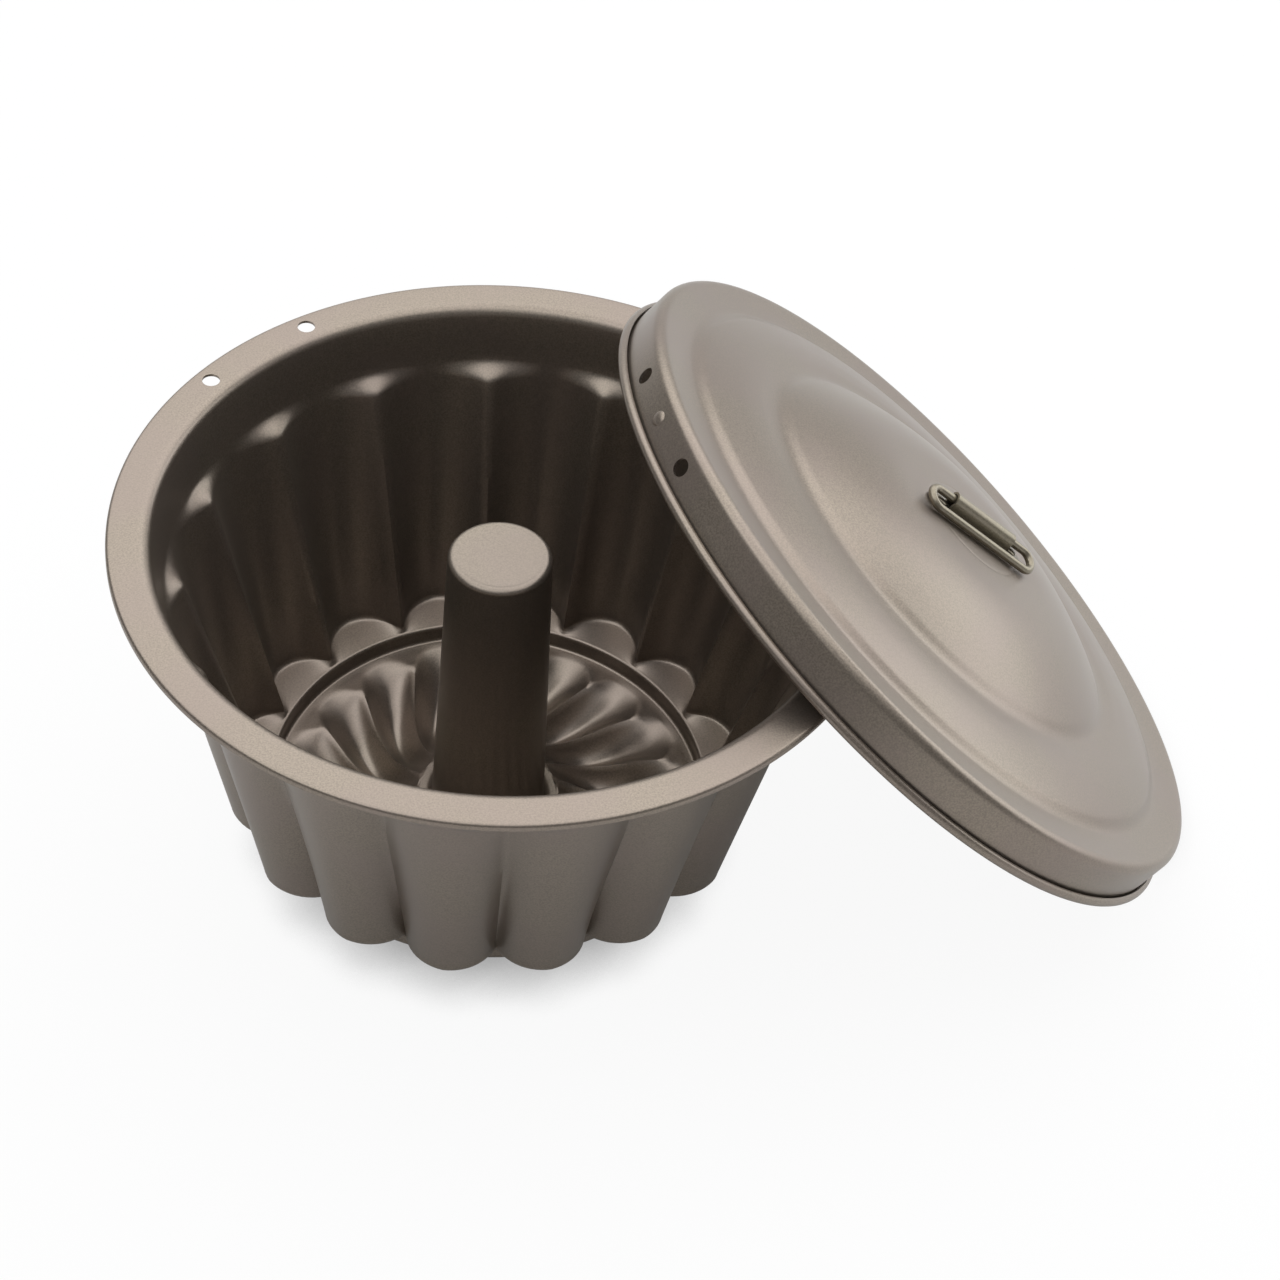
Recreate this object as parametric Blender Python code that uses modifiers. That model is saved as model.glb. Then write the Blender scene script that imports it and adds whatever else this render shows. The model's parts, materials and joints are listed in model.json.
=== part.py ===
"""Steamed pudding mould: a fluted basin with a centre tube, and its loose lid leaning on the rim.

Units are metres, +Z is up and the floor is z = 0. The basin's axis, the lid's own axis and the
handle's hinge are the three centre lines that everything is measured from.
"""

import math

import bmesh
import bpy
from mathutils import Matrix, Vector

# Sheet metal and fits
SHEET = 0.0007                  # thickness of the pressed steel
SEAM_GAP = 0.0003               # gap left between pieces that touch
PIN_CLEARANCE = 0.0003          # radial clearance round rivets and the handle's wire

# Basin, flange and plain band
BASIN_HEIGHT = 0.1030           # floor to the flange's top face
FLANGE_RADIUS = 0.0940
FLANGE_LIP = 0.0017             # depth of the turned-down edge
FLANGE_FOLD = 0.0009            # radius of that edge
MOUTH_RADIUS = 0.0863           # where the flange begins to turn down into the bowl
MOUTH_ROUNDING = 0.0030
MOUTH_DRAFT = 13.0              # lean of the plain band under the mouth, degrees from upright
BAND_HEIGHT = 0.0145            # plain band under the flange

# Basin, flutes
FLUTE_COUNT = 16
FLUTE_TOP_RADIUS = 0.0809       # flute bottoms, just under the plain band
FLUTE_FOOT_RADIUS = 0.0663      # flute bottoms, at the pads
RIB_TOP_DEPTH = 0.0041          # how far a rib stands into the bowl, at its shoulder
RIB_FOOT_DEPTH = 0.0090         # and at its foot
RIB_SHOULDER = 0.0042           # height over which a rib comes out of the band
RIB_ANGLE = 10.9                # azimuth of the first rib, degrees
FLUTE_FOOT_ROUNDNESS = 0.96     # 0 is a flat flute and 1 a half-round one, at the foot
FLUTE_TOP_ROUNDNESS = 0.70      # and under the plain band

# Basin, pads, step and ledge
PAD_HEIGHT = 0.0160             # the pads' face above the floor
PAD_ROUNDING = 0.0030           # between a pad and the flute's wall
STEP_RADIUS = 0.0557
STEP_ROUNDING = 0.0009
LEDGE_HEIGHT = 0.0113
LEDGE_WIDTH = 0.0027

# Basin, swirled floor
PETAL_COUNT = 18
PETAL_REACH = 0.0475            # where the ridges between petals begin
PETAL_DEPTH = 0.0049            # deepest sag of a petal below its ridges
PETAL_TWIST = 24.0              # degrees a ridge turns on its way in
PETAL_CURL = 1.2                # over 1, a ridge turns more near the collar
PETAL_ANGLE = 1.3               # azimuth of the first ridge, degrees
PETAL_LIP_SHARE = 0.55          # share of a petal's width that reaches the ledge
FLOOR_DIP_RADIUS = 0.0320       # ring where the floor is lowest, and stands
COLLAR_HEIGHT = 0.0090          # flat collar under the tube
COLLAR_MARGIN = 0.0008          # collar left bare outside the tube's foot
STANDING_REACH = 0.0004         # lowest points of the petals, this near the floor, are set on it

# Centre tube
TUBE_TOP_RADIUS = 0.0128
TUBE_BASE_RADIUS = 0.0145
TUBE_TOP_BELOW_RIM = 0.0078
TUBE_ROUNDING = 0.0015
TUBE_FOOT = 0.0032              # width of the foot turned out on the collar

# Holes for a fastening clip, through the flange and through the lid's skirt
HOLE_RADIUS = 0.00225
HOLE_SPREAD = 20.4              # degrees between the two holes of a pair
FLANGE_HOLE_RADIUS = 0.0893     # pitch radius on the flange
FLANGE_HOLE_ANGLE = 120.6
SKIRT_HOLE_ANGLE = 178.3
SKIRT_HOLE_HEIGHT = 0.0046      # above the bead's crease
PIP_RADIUS = 0.0021
PIP_PROUD = 0.0006

# Lid, heights above the crease between bead and skirt
LID_CLEARANCE = 0.0009          # skirt's inside to the flange's edge
LID_EDGE_HEIGHT = 0.0109        # outer ring
LID_EDGE_ROUNDING = 0.0024
BEAD_RADIUS = 0.0013
BEAD_OFFSET = 0.0006            # bead's centre outside the skirt
OUTER_RING_DROP = 0.0007        # the outer ring falls this much inwards
MIDDLE_STEP_RADIUS = 0.0817
MIDDLE_STEP_RISE = 0.0019
MIDDLE_RING_RISE = 0.0028
DOME_RADIUS = 0.0566
DOME_STEP_RISE = 0.0020
DOME_HEIGHT = 0.0254            # crown above the crease
CROWN_MARGIN = 0.0015           # flat crown left round the handle's clip
LID_TILT = 41.87                # lean from level, degrees
LID_SIDE_SHIFT = -0.0031        # lid's axis beside the basin's
LEAN_GAP = 0.00045              # gap between the leaning lid's inside and the flange
LEAN_ARC = 40                   # part of the flange that the lid can touch, degrees each way

# Handle
WIRE_RADIUS = 0.0011
BAIL_HALF_LENGTH = 0.0190
BAIL_REACH = 0.0060              # from the hinge to the grip
BAIL_END_GAP = 0.0010           # half the gap between the wire's ends, inside the clip
BAIL_LIFT = -18.0               # degrees above the lid at rest, where the grip lies on the crown
HINGE_ANGLE = 172.2             # direction of the hinge round the lid's axis
CLIP_SHEET = 0.0006
CLIP_BARREL_HALF = 0.0110
CLIP_EAR = 0.0062               # ear beyond the barrel
CLIP_FOOT = 0.0016              # foot beside the barrel
CLIP_BARREL_SINK = 0.0002       # the barrel's edges end this far above the strip's underside
RIVET_RADIUS = 0.0011
RIVET_INSET = 0.0023            # from the barrel's end to a rivet
RIVET_HEAD_RADIUS = 0.0019
RIVET_HEAD_HEIGHT = 0.0007

# Fineness
RIM_STEPS = 60
FLUTE_STEPS = 6                 # per flute
PETAL_STEPS = 5                 # per petal
LID_STEPS = 48
TUBE_STEPS = 28
RIVET_STEPS = 12

# Worked out from the values above
FLANGE_TOP = BASIN_HEIGHT
BAND_FOOT = BASIN_HEIGHT - BAND_HEIGHT
RIB_TOP = BAND_FOOT - RIB_SHOULDER
WALL_FOOT = PAD_HEIGHT + PAD_ROUNDING
LEDGE_RADIUS = STEP_RADIUS - LEDGE_WIDTH
TUBE_TOP = BASIN_HEIGHT - TUBE_TOP_BELOW_RIM
TUBE_FLOOR = COLLAR_HEIGHT + SEAM_GAP
TUBE_FOOT_RADIUS = TUBE_BASE_RADIUS + TUBE_FOOT
COLLAR_RADIUS = TUBE_FOOT_RADIUS + COLLAR_MARGIN
FLOOR_HOLE_RADIUS = TUBE_BASE_RADIUS - SHEET - SEAM_GAP
SKIRT_RADIUS = FLANGE_RADIUS + LID_CLEARANCE + SHEET
BEAD_CENTRE_RADIUS = SKIRT_RADIUS + BEAD_OFFSET
BEAD_CENTRE_HEIGHT = -math.sqrt(BEAD_RADIUS ** 2 - BEAD_OFFSET ** 2)
CLIP_HALF_LENGTH = CLIP_BARREL_HALF + CLIP_EAR
CROWN_RADIUS = CLIP_HALF_LENGTH + CROWN_MARGIN
RIVET_OFFSET = CLIP_BARREL_HALF + RIVET_INSET
EAR_TOP = SEAM_GAP + CLIP_SHEET
HINGE_HEIGHT = EAR_TOP + SEAM_GAP + RIVET_HEAD_HEIGHT + PIN_CLEARANCE + WIRE_RADIUS
TILT = math.radians(LID_TILT)


def clear_scene():
    """Remove whatever objects the file holds."""
    for old in list(bpy.data.objects):
        bpy.data.objects.remove(old, do_unlink=True)


def new_collection(name):
    """Make a collection under the scene."""
    collection = bpy.data.collections.new(name)
    bpy.context.scene.collection.children.link(collection)
    return collection


def smooth(t):
    """Ease from 0 to 1 with level ends."""
    t = min(1.0, max(0.0, t))
    return t * t * (3.0 - 2.0 * t)


def mix(start, end, share):
    """Go a share of the way from start to end."""
    return start + (end - start) * share


def between(x, table):
    """Read a value at x from a short table of (x, value) pairs, in straight lines."""
    if x <= table[0][0]:
        return table[0][1]
    for (x0, v0), (x1, v1) in zip(table, table[1:]):
        if x <= x1:
            return mix(v0, v1, (x - x0) / (x1 - x0))
    return table[-1][1]


def arc(centre, radius, start, end, steps):
    """Points on an arc in the profile plane, from angle start to end in degrees."""
    points = []
    for i in range(steps + 1):
        a = math.radians(mix(start, end, i / steps))
        points.append((centre[0] + radius * math.cos(a), centre[1] + radius * math.sin(a)))
    return points


def dome(radius, rise, height, steps):
    """A quarter of an oval, from its crown out to its edge."""
    angles = [math.radians(90.0 * i / steps) for i in range(steps + 1)]
    return [(radius * math.sin(a), height + rise * math.cos(a)) for a in angles]


def material(name, colour, roughness, metallic):
    """A Principled material."""
    made = bpy.data.materials.new(name)
    made.use_nodes = True
    shader = made.node_tree.nodes["Principled BSDF"]
    shader.inputs["Base Color"].default_value = (*colour, 1.0)
    shader.inputs["Roughness"].default_value = roughness
    shader.inputs["Metallic"].default_value = metallic
    return made


def new_object(name, mesh, collection):
    """Link a mesh as an object."""
    made = bpy.data.objects.new(name, mesh)
    collection.objects.link(made)
    return made


def evaluated_mesh(source):
    """The mesh of an object with its modifiers applied."""
    graph = bpy.context.evaluated_depsgraph_get()
    return bpy.data.meshes.new_from_object(source.evaluated_get(graph))


def turned_mesh(name, profile, steps, collection):
    """Turn a profile of (radius, height) points about Z with a Screw modifier."""
    mesh = bpy.data.meshes.new(name)
    edges = [(i, i + 1) for i in range(len(profile) - 1)]
    mesh.from_pydata([(r, 0.0, z) for r, z in profile], edges, [])
    blank = new_object(name + "_profile", mesh, collection)
    screw = blank.modifiers.new("turn", "SCREW")
    screw.axis = "Z"
    screw.steps = steps
    screw.render_steps = steps
    screw.use_merge_vertices = True
    screw.merge_threshold = 0.00001
    turned = evaluated_mesh(blank)
    bpy.data.objects.remove(blank, do_unlink=True)
    return turned


def sheet_profile(outer, thickness):
    """Close an outer profile with its inner face, one thickness inside, mitred at each point."""
    inner = []
    for i, point in enumerate(outer):
        here = Vector(point)
        before = (here - Vector(outer[i - 1])).normalized() if i else None
        after = (Vector(outer[i + 1]) - here).normalized() if i < len(outer) - 1 else None
        before = before or after
        after = after or before
        inward = Vector((before.y + after.y, -before.x - after.x)).normalized()
        reach = thickness / max(0.3, inward.dot(Vector((before.y, -before.x))))
        inner.append((max(0.0, here.x + inward.x * reach), here.y + inward.y * reach))
    return outer + inner[::-1]


def shade(target, angle=35.0):
    """Shade smooth but keep edges sharper than the angle."""
    target.data.shade_smooth()
    target.data.set_sharp_from_angle(angle=math.radians(angle))


def cylinder_cutter(name, radius, length, place, collection):
    """A cylinder along its own Z, kept as a hidden cutter."""
    mesh = bpy.data.meshes.new(name)
    bm = bmesh.new()
    bmesh.ops.create_cone(bm, cap_ends=True, segments=20, radius1=radius, radius2=radius, depth=length)
    bm.to_mesh(mesh)
    bm.free()
    cutter = new_object(name, mesh, collection)
    cutter.matrix_local = place
    cutter.hide_render = True
    cutter.display_type = "WIRE"
    return cutter


def add_boolean(target, cutter, operation):
    """Join or cut with another object."""
    step = target.modifiers.new(cutter.name, "BOOLEAN")
    step.operation = operation
    step.object = cutter
    step.solver = "EXACT"


def rib_depth(z, r):
    """How far a rib stands into the bowl, at a height on the wall or a radius on the pads."""
    if z > WALL_FOOT:
        full = between(z, [(WALL_FOOT, RIB_FOOT_DEPTH), (RIB_TOP, RIB_TOP_DEPTH)])
        return full * (1.0 - smooth((z - RIB_TOP) / RIB_SHOULDER))
    return between(r, [(STEP_RADIUS + STEP_ROUNDING, 0.0), (FLUTE_FOOT_RADIUS, RIB_FOOT_DEPTH)])


def flute_shape(azimuth, roundness):
    """0 at the bottom of a flute and 1 on a rib, as a round channel."""
    pitch = 2.0 * math.pi / FLUTE_COUNT
    turn = (azimuth - math.radians(RIB_ANGLE)) / pitch
    across = 2.0 * abs(turn - math.floor(turn) - 0.5)
    side = roundness * across
    return (1.0 - math.sqrt(1.0 - side * side)) / (1.0 - math.sqrt(1.0 - roundness * roundness))


def flute_wall(bm):
    """Press the flutes into the turned wall."""
    rounding = [(WALL_FOOT, FLUTE_FOOT_ROUNDNESS), (RIB_TOP, FLUTE_TOP_ROUNDNESS)]
    for vert in bm.verts:
        r = math.hypot(vert.co.x, vert.co.y)
        azimuth = math.atan2(vert.co.y, vert.co.x)
        roundness = between(vert.co.z, rounding)
        r -= rib_depth(vert.co.z, r) * flute_shape(azimuth, roundness)
        vert.co.x = r * math.cos(azimuth)
        vert.co.y = r * math.sin(azimuth)


def floor_rows():
    """Rows from the collar out to the ledge: radius, height of the ridges, share of a petal's sag."""
    dip = FLOOR_DIP_RADIUS
    low = PETAL_DEPTH + SHEET
    return [
        (COLLAR_RADIUS, COLLAR_HEIGHT, 0.0),
        (mix(COLLAR_RADIUS, dip, 0.30), mix(COLLAR_HEIGHT, low, 0.40), 0.42),
        (mix(COLLAR_RADIUS, dip, 0.65), mix(COLLAR_HEIGHT, low, 0.88), 0.82),
        (dip, low, 1.0),
        (mix(dip, PETAL_REACH, 0.35), mix(low, LEDGE_HEIGHT, 0.25), 1.0),
        (mix(dip, PETAL_REACH, 0.70), mix(low, LEDGE_HEIGHT, 0.70), 0.86),
        (PETAL_REACH, LEDGE_HEIGHT, 0.60),
        (mix(PETAL_REACH, LEDGE_RADIUS, 0.50), LEDGE_HEIGHT, 0.28),
        (LEDGE_RADIUS, LEDGE_HEIGHT, 0.0),
    ]


def press_petals(bm):
    """Turn the floor's rows into a swirl and press the petals down between the ridges."""
    pitch = 2.0 * math.pi / PETAL_COUNT
    sag = [(r, share) for r, height, share in floor_rows()]
    for vert in bm.verts:
        r = math.hypot(vert.co.x, vert.co.y)
        azimuth = math.atan2(vert.co.y, vert.co.x)
        turn = azimuth / pitch
        across = 2.0 * abs(turn - math.floor(turn) - 0.5)
        width = between(r, [(PETAL_REACH, 1.0), (LEDGE_RADIUS, PETAL_LIP_SHARE)])
        vert.co.z -= PETAL_DEPTH * between(r, sag) * max(0.0, 1.0 - (across / width) ** 2)
        inward = (PETAL_REACH - r) / (PETAL_REACH - COLLAR_RADIUS)
        twist = math.radians(PETAL_TWIST) * min(1.0, max(0.0, inward)) ** PETAL_CURL
        azimuth += twist + math.radians(PETAL_ANGLE)
        vert.co.x = r * math.cos(azimuth)
        vert.co.y = r * math.sin(azimuth)


def floor_profile():
    """The bowl's face from the hole under the tube out over the ridges to the ledge."""
    return [(FLOOR_HOLE_RADIUS, COLLAR_HEIGHT)] + [(r, height) for r, height, share in floor_rows()]


def wall_profile():
    """The bowl's face from the ledge up the step, over the pads and up the flutes."""
    ledge = (STEP_RADIUS - STEP_ROUNDING, LEDGE_HEIGHT)
    step = arc((STEP_RADIUS + STEP_ROUNDING, PAD_HEIGHT - STEP_ROUNDING), STEP_ROUNDING, 180.0, 90.0, 1)
    foot = (FLUTE_FOOT_RADIUS - PAD_ROUNDING, PAD_HEIGHT + PAD_ROUNDING)
    rounding = arc(foot, PAD_ROUNDING, -90.0, 0.0, 2)
    points = [ledge, (STEP_RADIUS, LEDGE_HEIGHT + STEP_ROUNDING), *step, *rounding]
    slope = (FLUTE_TOP_RADIUS - FLUTE_FOOT_RADIUS) / (BAND_FOOT - WALL_FOOT)
    span = RIB_TOP - WALL_FOOT
    heights = [WALL_FOOT + 0.5 * span, RIB_TOP, RIB_TOP + 0.5 * RIB_SHOULDER, BAND_FOOT]
    points += [(FLUTE_FOOT_RADIUS + slope * (z - WALL_FOOT), z) for z in heights]
    return points


def rim_profile():
    """The bowl's face from the plain band over the mouth to the flange's turned-down edge."""
    mouth_centre = (MOUTH_RADIUS, FLANGE_TOP - MOUTH_ROUNDING)
    points = arc(mouth_centre, MOUTH_ROUNDING, 180.0 - MOUTH_DRAFT, 90.0, 3)
    fold_centre = (FLANGE_RADIUS - FLANGE_FOLD, FLANGE_TOP - FLANGE_FOLD)
    points += arc(fold_centre, FLANGE_FOLD, 90.0, 0.0, 2)
    points.append((FLANGE_RADIUS, FLANGE_TOP - FLANGE_LIP))
    return points


def make_basin(collection, cutters, finish):
    """Fluted basin: three turned strips, pressed, joined edge to edge and given their thickness."""
    strips = [
        (floor_profile(), PETAL_COUNT * PETAL_STEPS, press_petals),
        (wall_profile(), FLUTE_COUNT * FLUTE_STEPS, flute_wall),
        (rim_profile(), RIM_STEPS, None),
    ]
    face = bmesh.new()
    borders = []
    for number, (profile, steps, press) in enumerate(strips):
        turned = turned_mesh("strip_%d" % number, profile, steps, cutters)
        strip = bmesh.new()
        strip.from_mesh(turned)
        if press is flute_wall:
            turn = math.radians(RIB_ANGLE)
            bmesh.ops.rotate(strip, verts=strip.verts, cent=(0, 0, 0), matrix=Matrix.Rotation(turn, 3, "Z"))
        if press:
            press(strip)
        first = len(face.verts)
        strip.to_mesh(turned)
        strip.free()
        face.from_mesh(turned)
        face.verts.ensure_lookup_table()
        added = set(face.verts[first:])
        edges = [edge for edge in face.edges if edge.verts[0] in added and len(edge.link_faces) == 1]
        radii = [edge.verts[0].co.xy.length for edge in edges]
        middle = (min(radii) + max(radii)) / 2.0
        inner = [edge for edge in edges if edge.verts[0].co.xy.length < middle]
        outer = [edge for edge in edges if edge.verts[0].co.xy.length >= middle]
        borders.append((inner, outer))
    for lower, upper in zip(borders, borders[1:]):
        bmesh.ops.bridge_loops(face, edges=lower[1] + upper[0])
    mesh = bpy.data.meshes.new("basin_face")
    face.to_mesh(mesh)
    face.free()

    blank = new_object("basin_face", mesh, cutters)
    wall = blank.modifiers.new("wall", "SOLIDIFY")
    wall.thickness = SHEET
    wall.offset = -1.0
    wall.use_even_offset = True
    shell = evaluated_mesh(blank)
    bpy.data.objects.remove(blank, do_unlink=True)
    for vert in shell.vertices:
        if vert.co.z < STANDING_REACH:
            vert.co.z = 0.0
    basin = new_object("basin", shell, collection)
    basin.data.materials.append(finish)
    for side in (-0.5, 0.5):
        azimuth = math.radians(FLANGE_HOLE_ANGLE + side * HOLE_SPREAD)
        place = Matrix.Translation((
            FLANGE_HOLE_RADIUS * math.cos(azimuth),
            FLANGE_HOLE_RADIUS * math.sin(azimuth),
            FLANGE_TOP,
        ))
        cutter = cylinder_cutter("flange_hole", HOLE_RADIUS, 8.0 * SHEET, place, cutters)
        cutter.parent = basin
        add_boolean(basin, cutter, "DIFFERENCE")
    shade(basin)
    return basin


def make_tube(collection, cutters, finish):
    """Tapered centre tube with a closed flat top and a foot turned out on the floor's collar."""
    fillet = TUBE_FOOT - 2.0 * SHEET
    top_centre = (TUBE_TOP_RADIUS - TUBE_ROUNDING, TUBE_TOP - TUBE_ROUNDING)
    outer = [(0.0, TUBE_TOP)]
    outer += arc(top_centre, TUBE_ROUNDING, 90.0, 0.0, 3)
    foot_centre = (TUBE_BASE_RADIUS + fillet, TUBE_FLOOR + SHEET + fillet)
    outer += arc(foot_centre, fillet, 180.0, 270.0, 3)
    outer.append((TUBE_FOOT_RADIUS, TUBE_FLOOR + SHEET))
    mesh = turned_mesh("centre_tube", sheet_profile(outer, SHEET), TUBE_STEPS, cutters)
    tube = new_object("centre_tube", mesh, collection)
    tube.data.materials.append(finish)
    shade(tube)
    return tube


def crowned(start, end, height, fall, shares):
    """Points of a gentle crown, falling as the square of the way out from start to end."""
    return [(mix(start, end, share), height - fall * share * share) for share in shares]


def terrace(radius, foot, rise):
    """A pressed step in the lid: its rounded edge, its slope and its foot."""
    return [
        (radius - 0.6 * rise, foot + 0.9 * rise),
        (radius + 0.3 * rise, foot + 0.35 * rise),
        (radius + 1.3 * rise, foot),
    ]


def lid_outer_profile():
    """The lid's upper face, from the crown down the terraces and the skirt to the bead."""
    outer_ring = LID_EDGE_HEIGHT - OUTER_RING_DROP
    dome_foot = outer_ring + MIDDLE_STEP_RISE + MIDDLE_RING_RISE
    dome_step = terrace(DOME_RADIUS, dome_foot, DOME_STEP_RISE)
    middle_step = terrace(MIDDLE_STEP_RADIUS, outer_ring, MIDDLE_STEP_RISE)
    fall = DOME_HEIGHT - dome_foot - DOME_STEP_RISE
    points = [(0.0, DOME_HEIGHT)]
    points += crowned(CROWN_RADIUS, dome_step[0][0], DOME_HEIGHT, fall, (0.0, 0.4, 0.75))
    points += dome_step
    points += crowned(dome_step[2][0], middle_step[0][0], dome_foot, MIDDLE_RING_RISE, (0.6,))
    points += middle_step
    corner = (SKIRT_RADIUS - LID_EDGE_ROUNDING, LID_EDGE_HEIGHT - LID_EDGE_ROUNDING)
    points += arc(corner, LID_EDGE_ROUNDING, 90.0, 0.0, 2)
    return points


def make_lid(collection, cutters, finish):
    """Turned lid with its bead, the two skirt holes, the pressed pip and the rivet holes."""
    outer = lid_outer_profile()
    closed = sheet_profile(outer + [(SKIRT_RADIUS, 0.0)], SHEET)
    count = len(outer)
    start = math.degrees(math.atan2(-BEAD_CENTRE_HEIGHT, -BEAD_OFFSET))
    bead = arc((BEAD_CENTRE_RADIUS, BEAD_CENTRE_HEIGHT), BEAD_RADIUS, start, -180.0, 5)
    inner = [point for point in closed[count + 1:] if point[1] > BEAD_CENTRE_HEIGHT + 0.5 * BEAD_RADIUS]
    inner = [(min(r, SKIRT_RADIUS - SHEET), z) for r, z in inner]
    mesh = turned_mesh("lid", outer + bead + inner, LID_STEPS, cutters)
    lid = new_object("lid", mesh, collection)
    lid.data.materials.append(finish)

    ball = bpy.data.meshes.new("pip")
    bm = bmesh.new()
    bmesh.ops.create_uvsphere(bm, u_segments=12, v_segments=8, radius=PIP_RADIUS)
    bm.to_mesh(ball)
    bm.free()
    pip = new_object("pip", ball, cutters)
    azimuth = math.radians(SKIRT_HOLE_ANGLE)
    pip_centre = SKIRT_RADIUS - PIP_RADIUS + PIP_PROUD
    pip.location = (pip_centre * math.cos(azimuth), pip_centre * math.sin(azimuth), SKIRT_HOLE_HEIGHT)
    pip.parent = lid
    pip.hide_render = True
    pip.display_type = "WIRE"
    add_boolean(lid, pip, "UNION")

    for side in (-0.5, 0.5):
        azimuth = math.radians(SKIRT_HOLE_ANGLE + side * HOLE_SPREAD)
        place = Matrix.Rotation(azimuth, 4, "Z") @ Matrix.Translation((SKIRT_RADIUS, 0, SKIRT_HOLE_HEIGHT))
        place = place @ Matrix.Rotation(math.pi / 2.0, 4, "Y")
        cutter = cylinder_cutter("skirt_hole", HOLE_RADIUS, 8.0 * SHEET, place, cutters)
        cutter.parent = lid
        add_boolean(lid, cutter, "DIFFERENCE")
    hinge = Matrix.Rotation(math.radians(HINGE_ANGLE), 4, "Z")
    for side in (-1.0, 1.0):
        place = hinge @ Matrix.Translation((side * RIVET_OFFSET, 0, DOME_HEIGHT))
        hole = RIVET_RADIUS + PIN_CLEARANCE
        cutter = cylinder_cutter("crown_hole", hole, 8.0 * SHEET, place, cutters)
        cutter.parent = lid
        add_boolean(lid, cutter, "DIFFERENCE")
    shade(lid)
    return lid


def flat_solid(name, outlines, half_thickness, place, collection):
    """Fill an outline in the XY plane, less the holes listed after it, thicken and place it."""
    curve = bpy.data.curves.new(name, "CURVE")
    curve.dimensions = "2D"
    curve.fill_mode = "BOTH"
    curve.extrude = half_thickness
    for outline in outlines:
        spline = curve.splines.new("POLY")
        spline.points.add(len(outline) - 1)
        for point, (x, y) in zip(spline.points, outline):
            point.co = (x, y, 0.0, 1.0)
        spline.use_cyclic_u = True
    blank = bpy.data.objects.new(name + "_outline", curve)
    collection.objects.link(blank)
    bpy.context.view_layer.update()
    mesh = evaluated_mesh(blank)
    bpy.data.objects.remove(blank, do_unlink=True)
    bm = bmesh.new()
    bm.from_mesh(mesh)
    bmesh.ops.remove_doubles(bm, verts=bm.verts, dist=0.00001)
    bmesh.ops.transform(bm, matrix=place, verts=bm.verts)
    bm.to_mesh(mesh)
    bm.free()
    return new_object(name, mesh, collection)


def make_clip(collection, cutters, finish):
    """Sheet clip: a flat strip with round ends, its middle pressed up to an open-ended barrel."""
    inner = WIRE_RADIUS + PIN_CLEARANCE
    outer = inner + CLIP_SHEET
    half_width = outer + CLIP_FOOT
    base = SEAM_GAP - HINGE_HEIGHT
    end = CLIP_HALF_LENGTH - half_width
    rim = arc((end, 0.0), half_width, -90.0, 90.0, 8) + arc((-end, 0.0), half_width, 90.0, 270.0, 8)
    window_x = CLIP_BARREL_HALF - 0.5 * CLIP_SHEET
    window_y = inner + 0.5 * CLIP_SHEET
    window = [(window_x, window_y), (-window_x, window_y), (-window_x, -window_y), (window_x, -window_y)]
    hole = RIVET_RADIUS + PIN_CLEARANCE
    holes = [arc((side * RIVET_OFFSET, 0.0), hole, 0.0, 345.0, 23) for side in (-1.0, 1.0)]
    lift = Matrix.Translation((0, 0, base + 0.5 * CLIP_SHEET))
    clip = flat_solid("handle_clip", [rim, window, *holes], 0.5 * CLIP_SHEET, lift, collection)
    clip.data.materials.append(finish)

    foot = base + CLIP_BARREL_SINK
    arch = [(outer, foot)] + arc((0.0, 0.0), outer, 0.0, 180.0, 10) + [(-outer, foot), (-inner, foot)]
    arch += arc((0.0, 0.0), inner, 180.0, 0.0, 10) + [(inner, foot)]
    along = Matrix(((0, 0, 1, 0), (1, 0, 0, 0), (0, 1, 0, 0), (0, 0, 0, 1)))
    barrel = flat_solid("clip_barrel", [arch], CLIP_BARREL_HALF, along, cutters)
    barrel.parent = clip
    barrel.hide_render = True
    barrel.display_type = "WIRE"
    add_boolean(clip, barrel, "UNION")
    shade(clip)
    return clip


def make_rivet(name, offset, collection, cutters, finish):
    """Round-headed rivet through an ear of the clip and the lid's crown."""
    seat = EAR_TOP + SEAM_GAP - HINGE_HEIGHT
    tail = -HINGE_HEIGHT - SHEET - SEAM_GAP
    profile = dome(RIVET_HEAD_RADIUS, RIVET_HEAD_HEIGHT, seat, 3)
    profile += [(RIVET_RADIUS, seat), (RIVET_RADIUS, tail)]
    profile += dome(RIVET_HEAD_RADIUS, -RIVET_HEAD_HEIGHT, tail, 3)[::-1]
    rivet = new_object(name, turned_mesh(name, profile, RIVET_STEPS, cutters), collection)
    rivet.location.x = offset
    rivet.data.materials.append(finish)
    shade(rivet)
    return rivet


def bail_path():
    """Centre line of the wire: in from the clip, round the grip and back into the clip."""
    turn = 0.5 * BAIL_REACH
    half = [(BAIL_END_GAP, 0.0)]
    half += arc((BAIL_HALF_LENGTH - turn, turn), turn, -90.0, 90.0, 8)
    return half + [(-x, y) for x, y in half[::-1]]


def make_bail(collection, cutters, finish):
    """Wire handle, a round wire bent to a long narrow loop with its ends in the clip."""
    curve = bpy.data.curves.new("handle_bail", "CURVE")
    curve.dimensions = "3D"
    curve.bevel_depth = WIRE_RADIUS
    curve.bevel_resolution = 2
    curve.use_fill_caps = True
    path = bail_path()
    spline = curve.splines.new("POLY")
    spline.points.add(len(path) - 1)
    for point, (x, y) in zip(spline.points, path):
        point.co = (x, y, 0.0, 1.0)
    bail = bpy.data.objects.new("handle_bail", curve)
    collection.objects.link(bail)
    bail.rotation_euler.x = math.radians(BAIL_LIFT)
    curve.materials.append(finish)
    return bail


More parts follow.
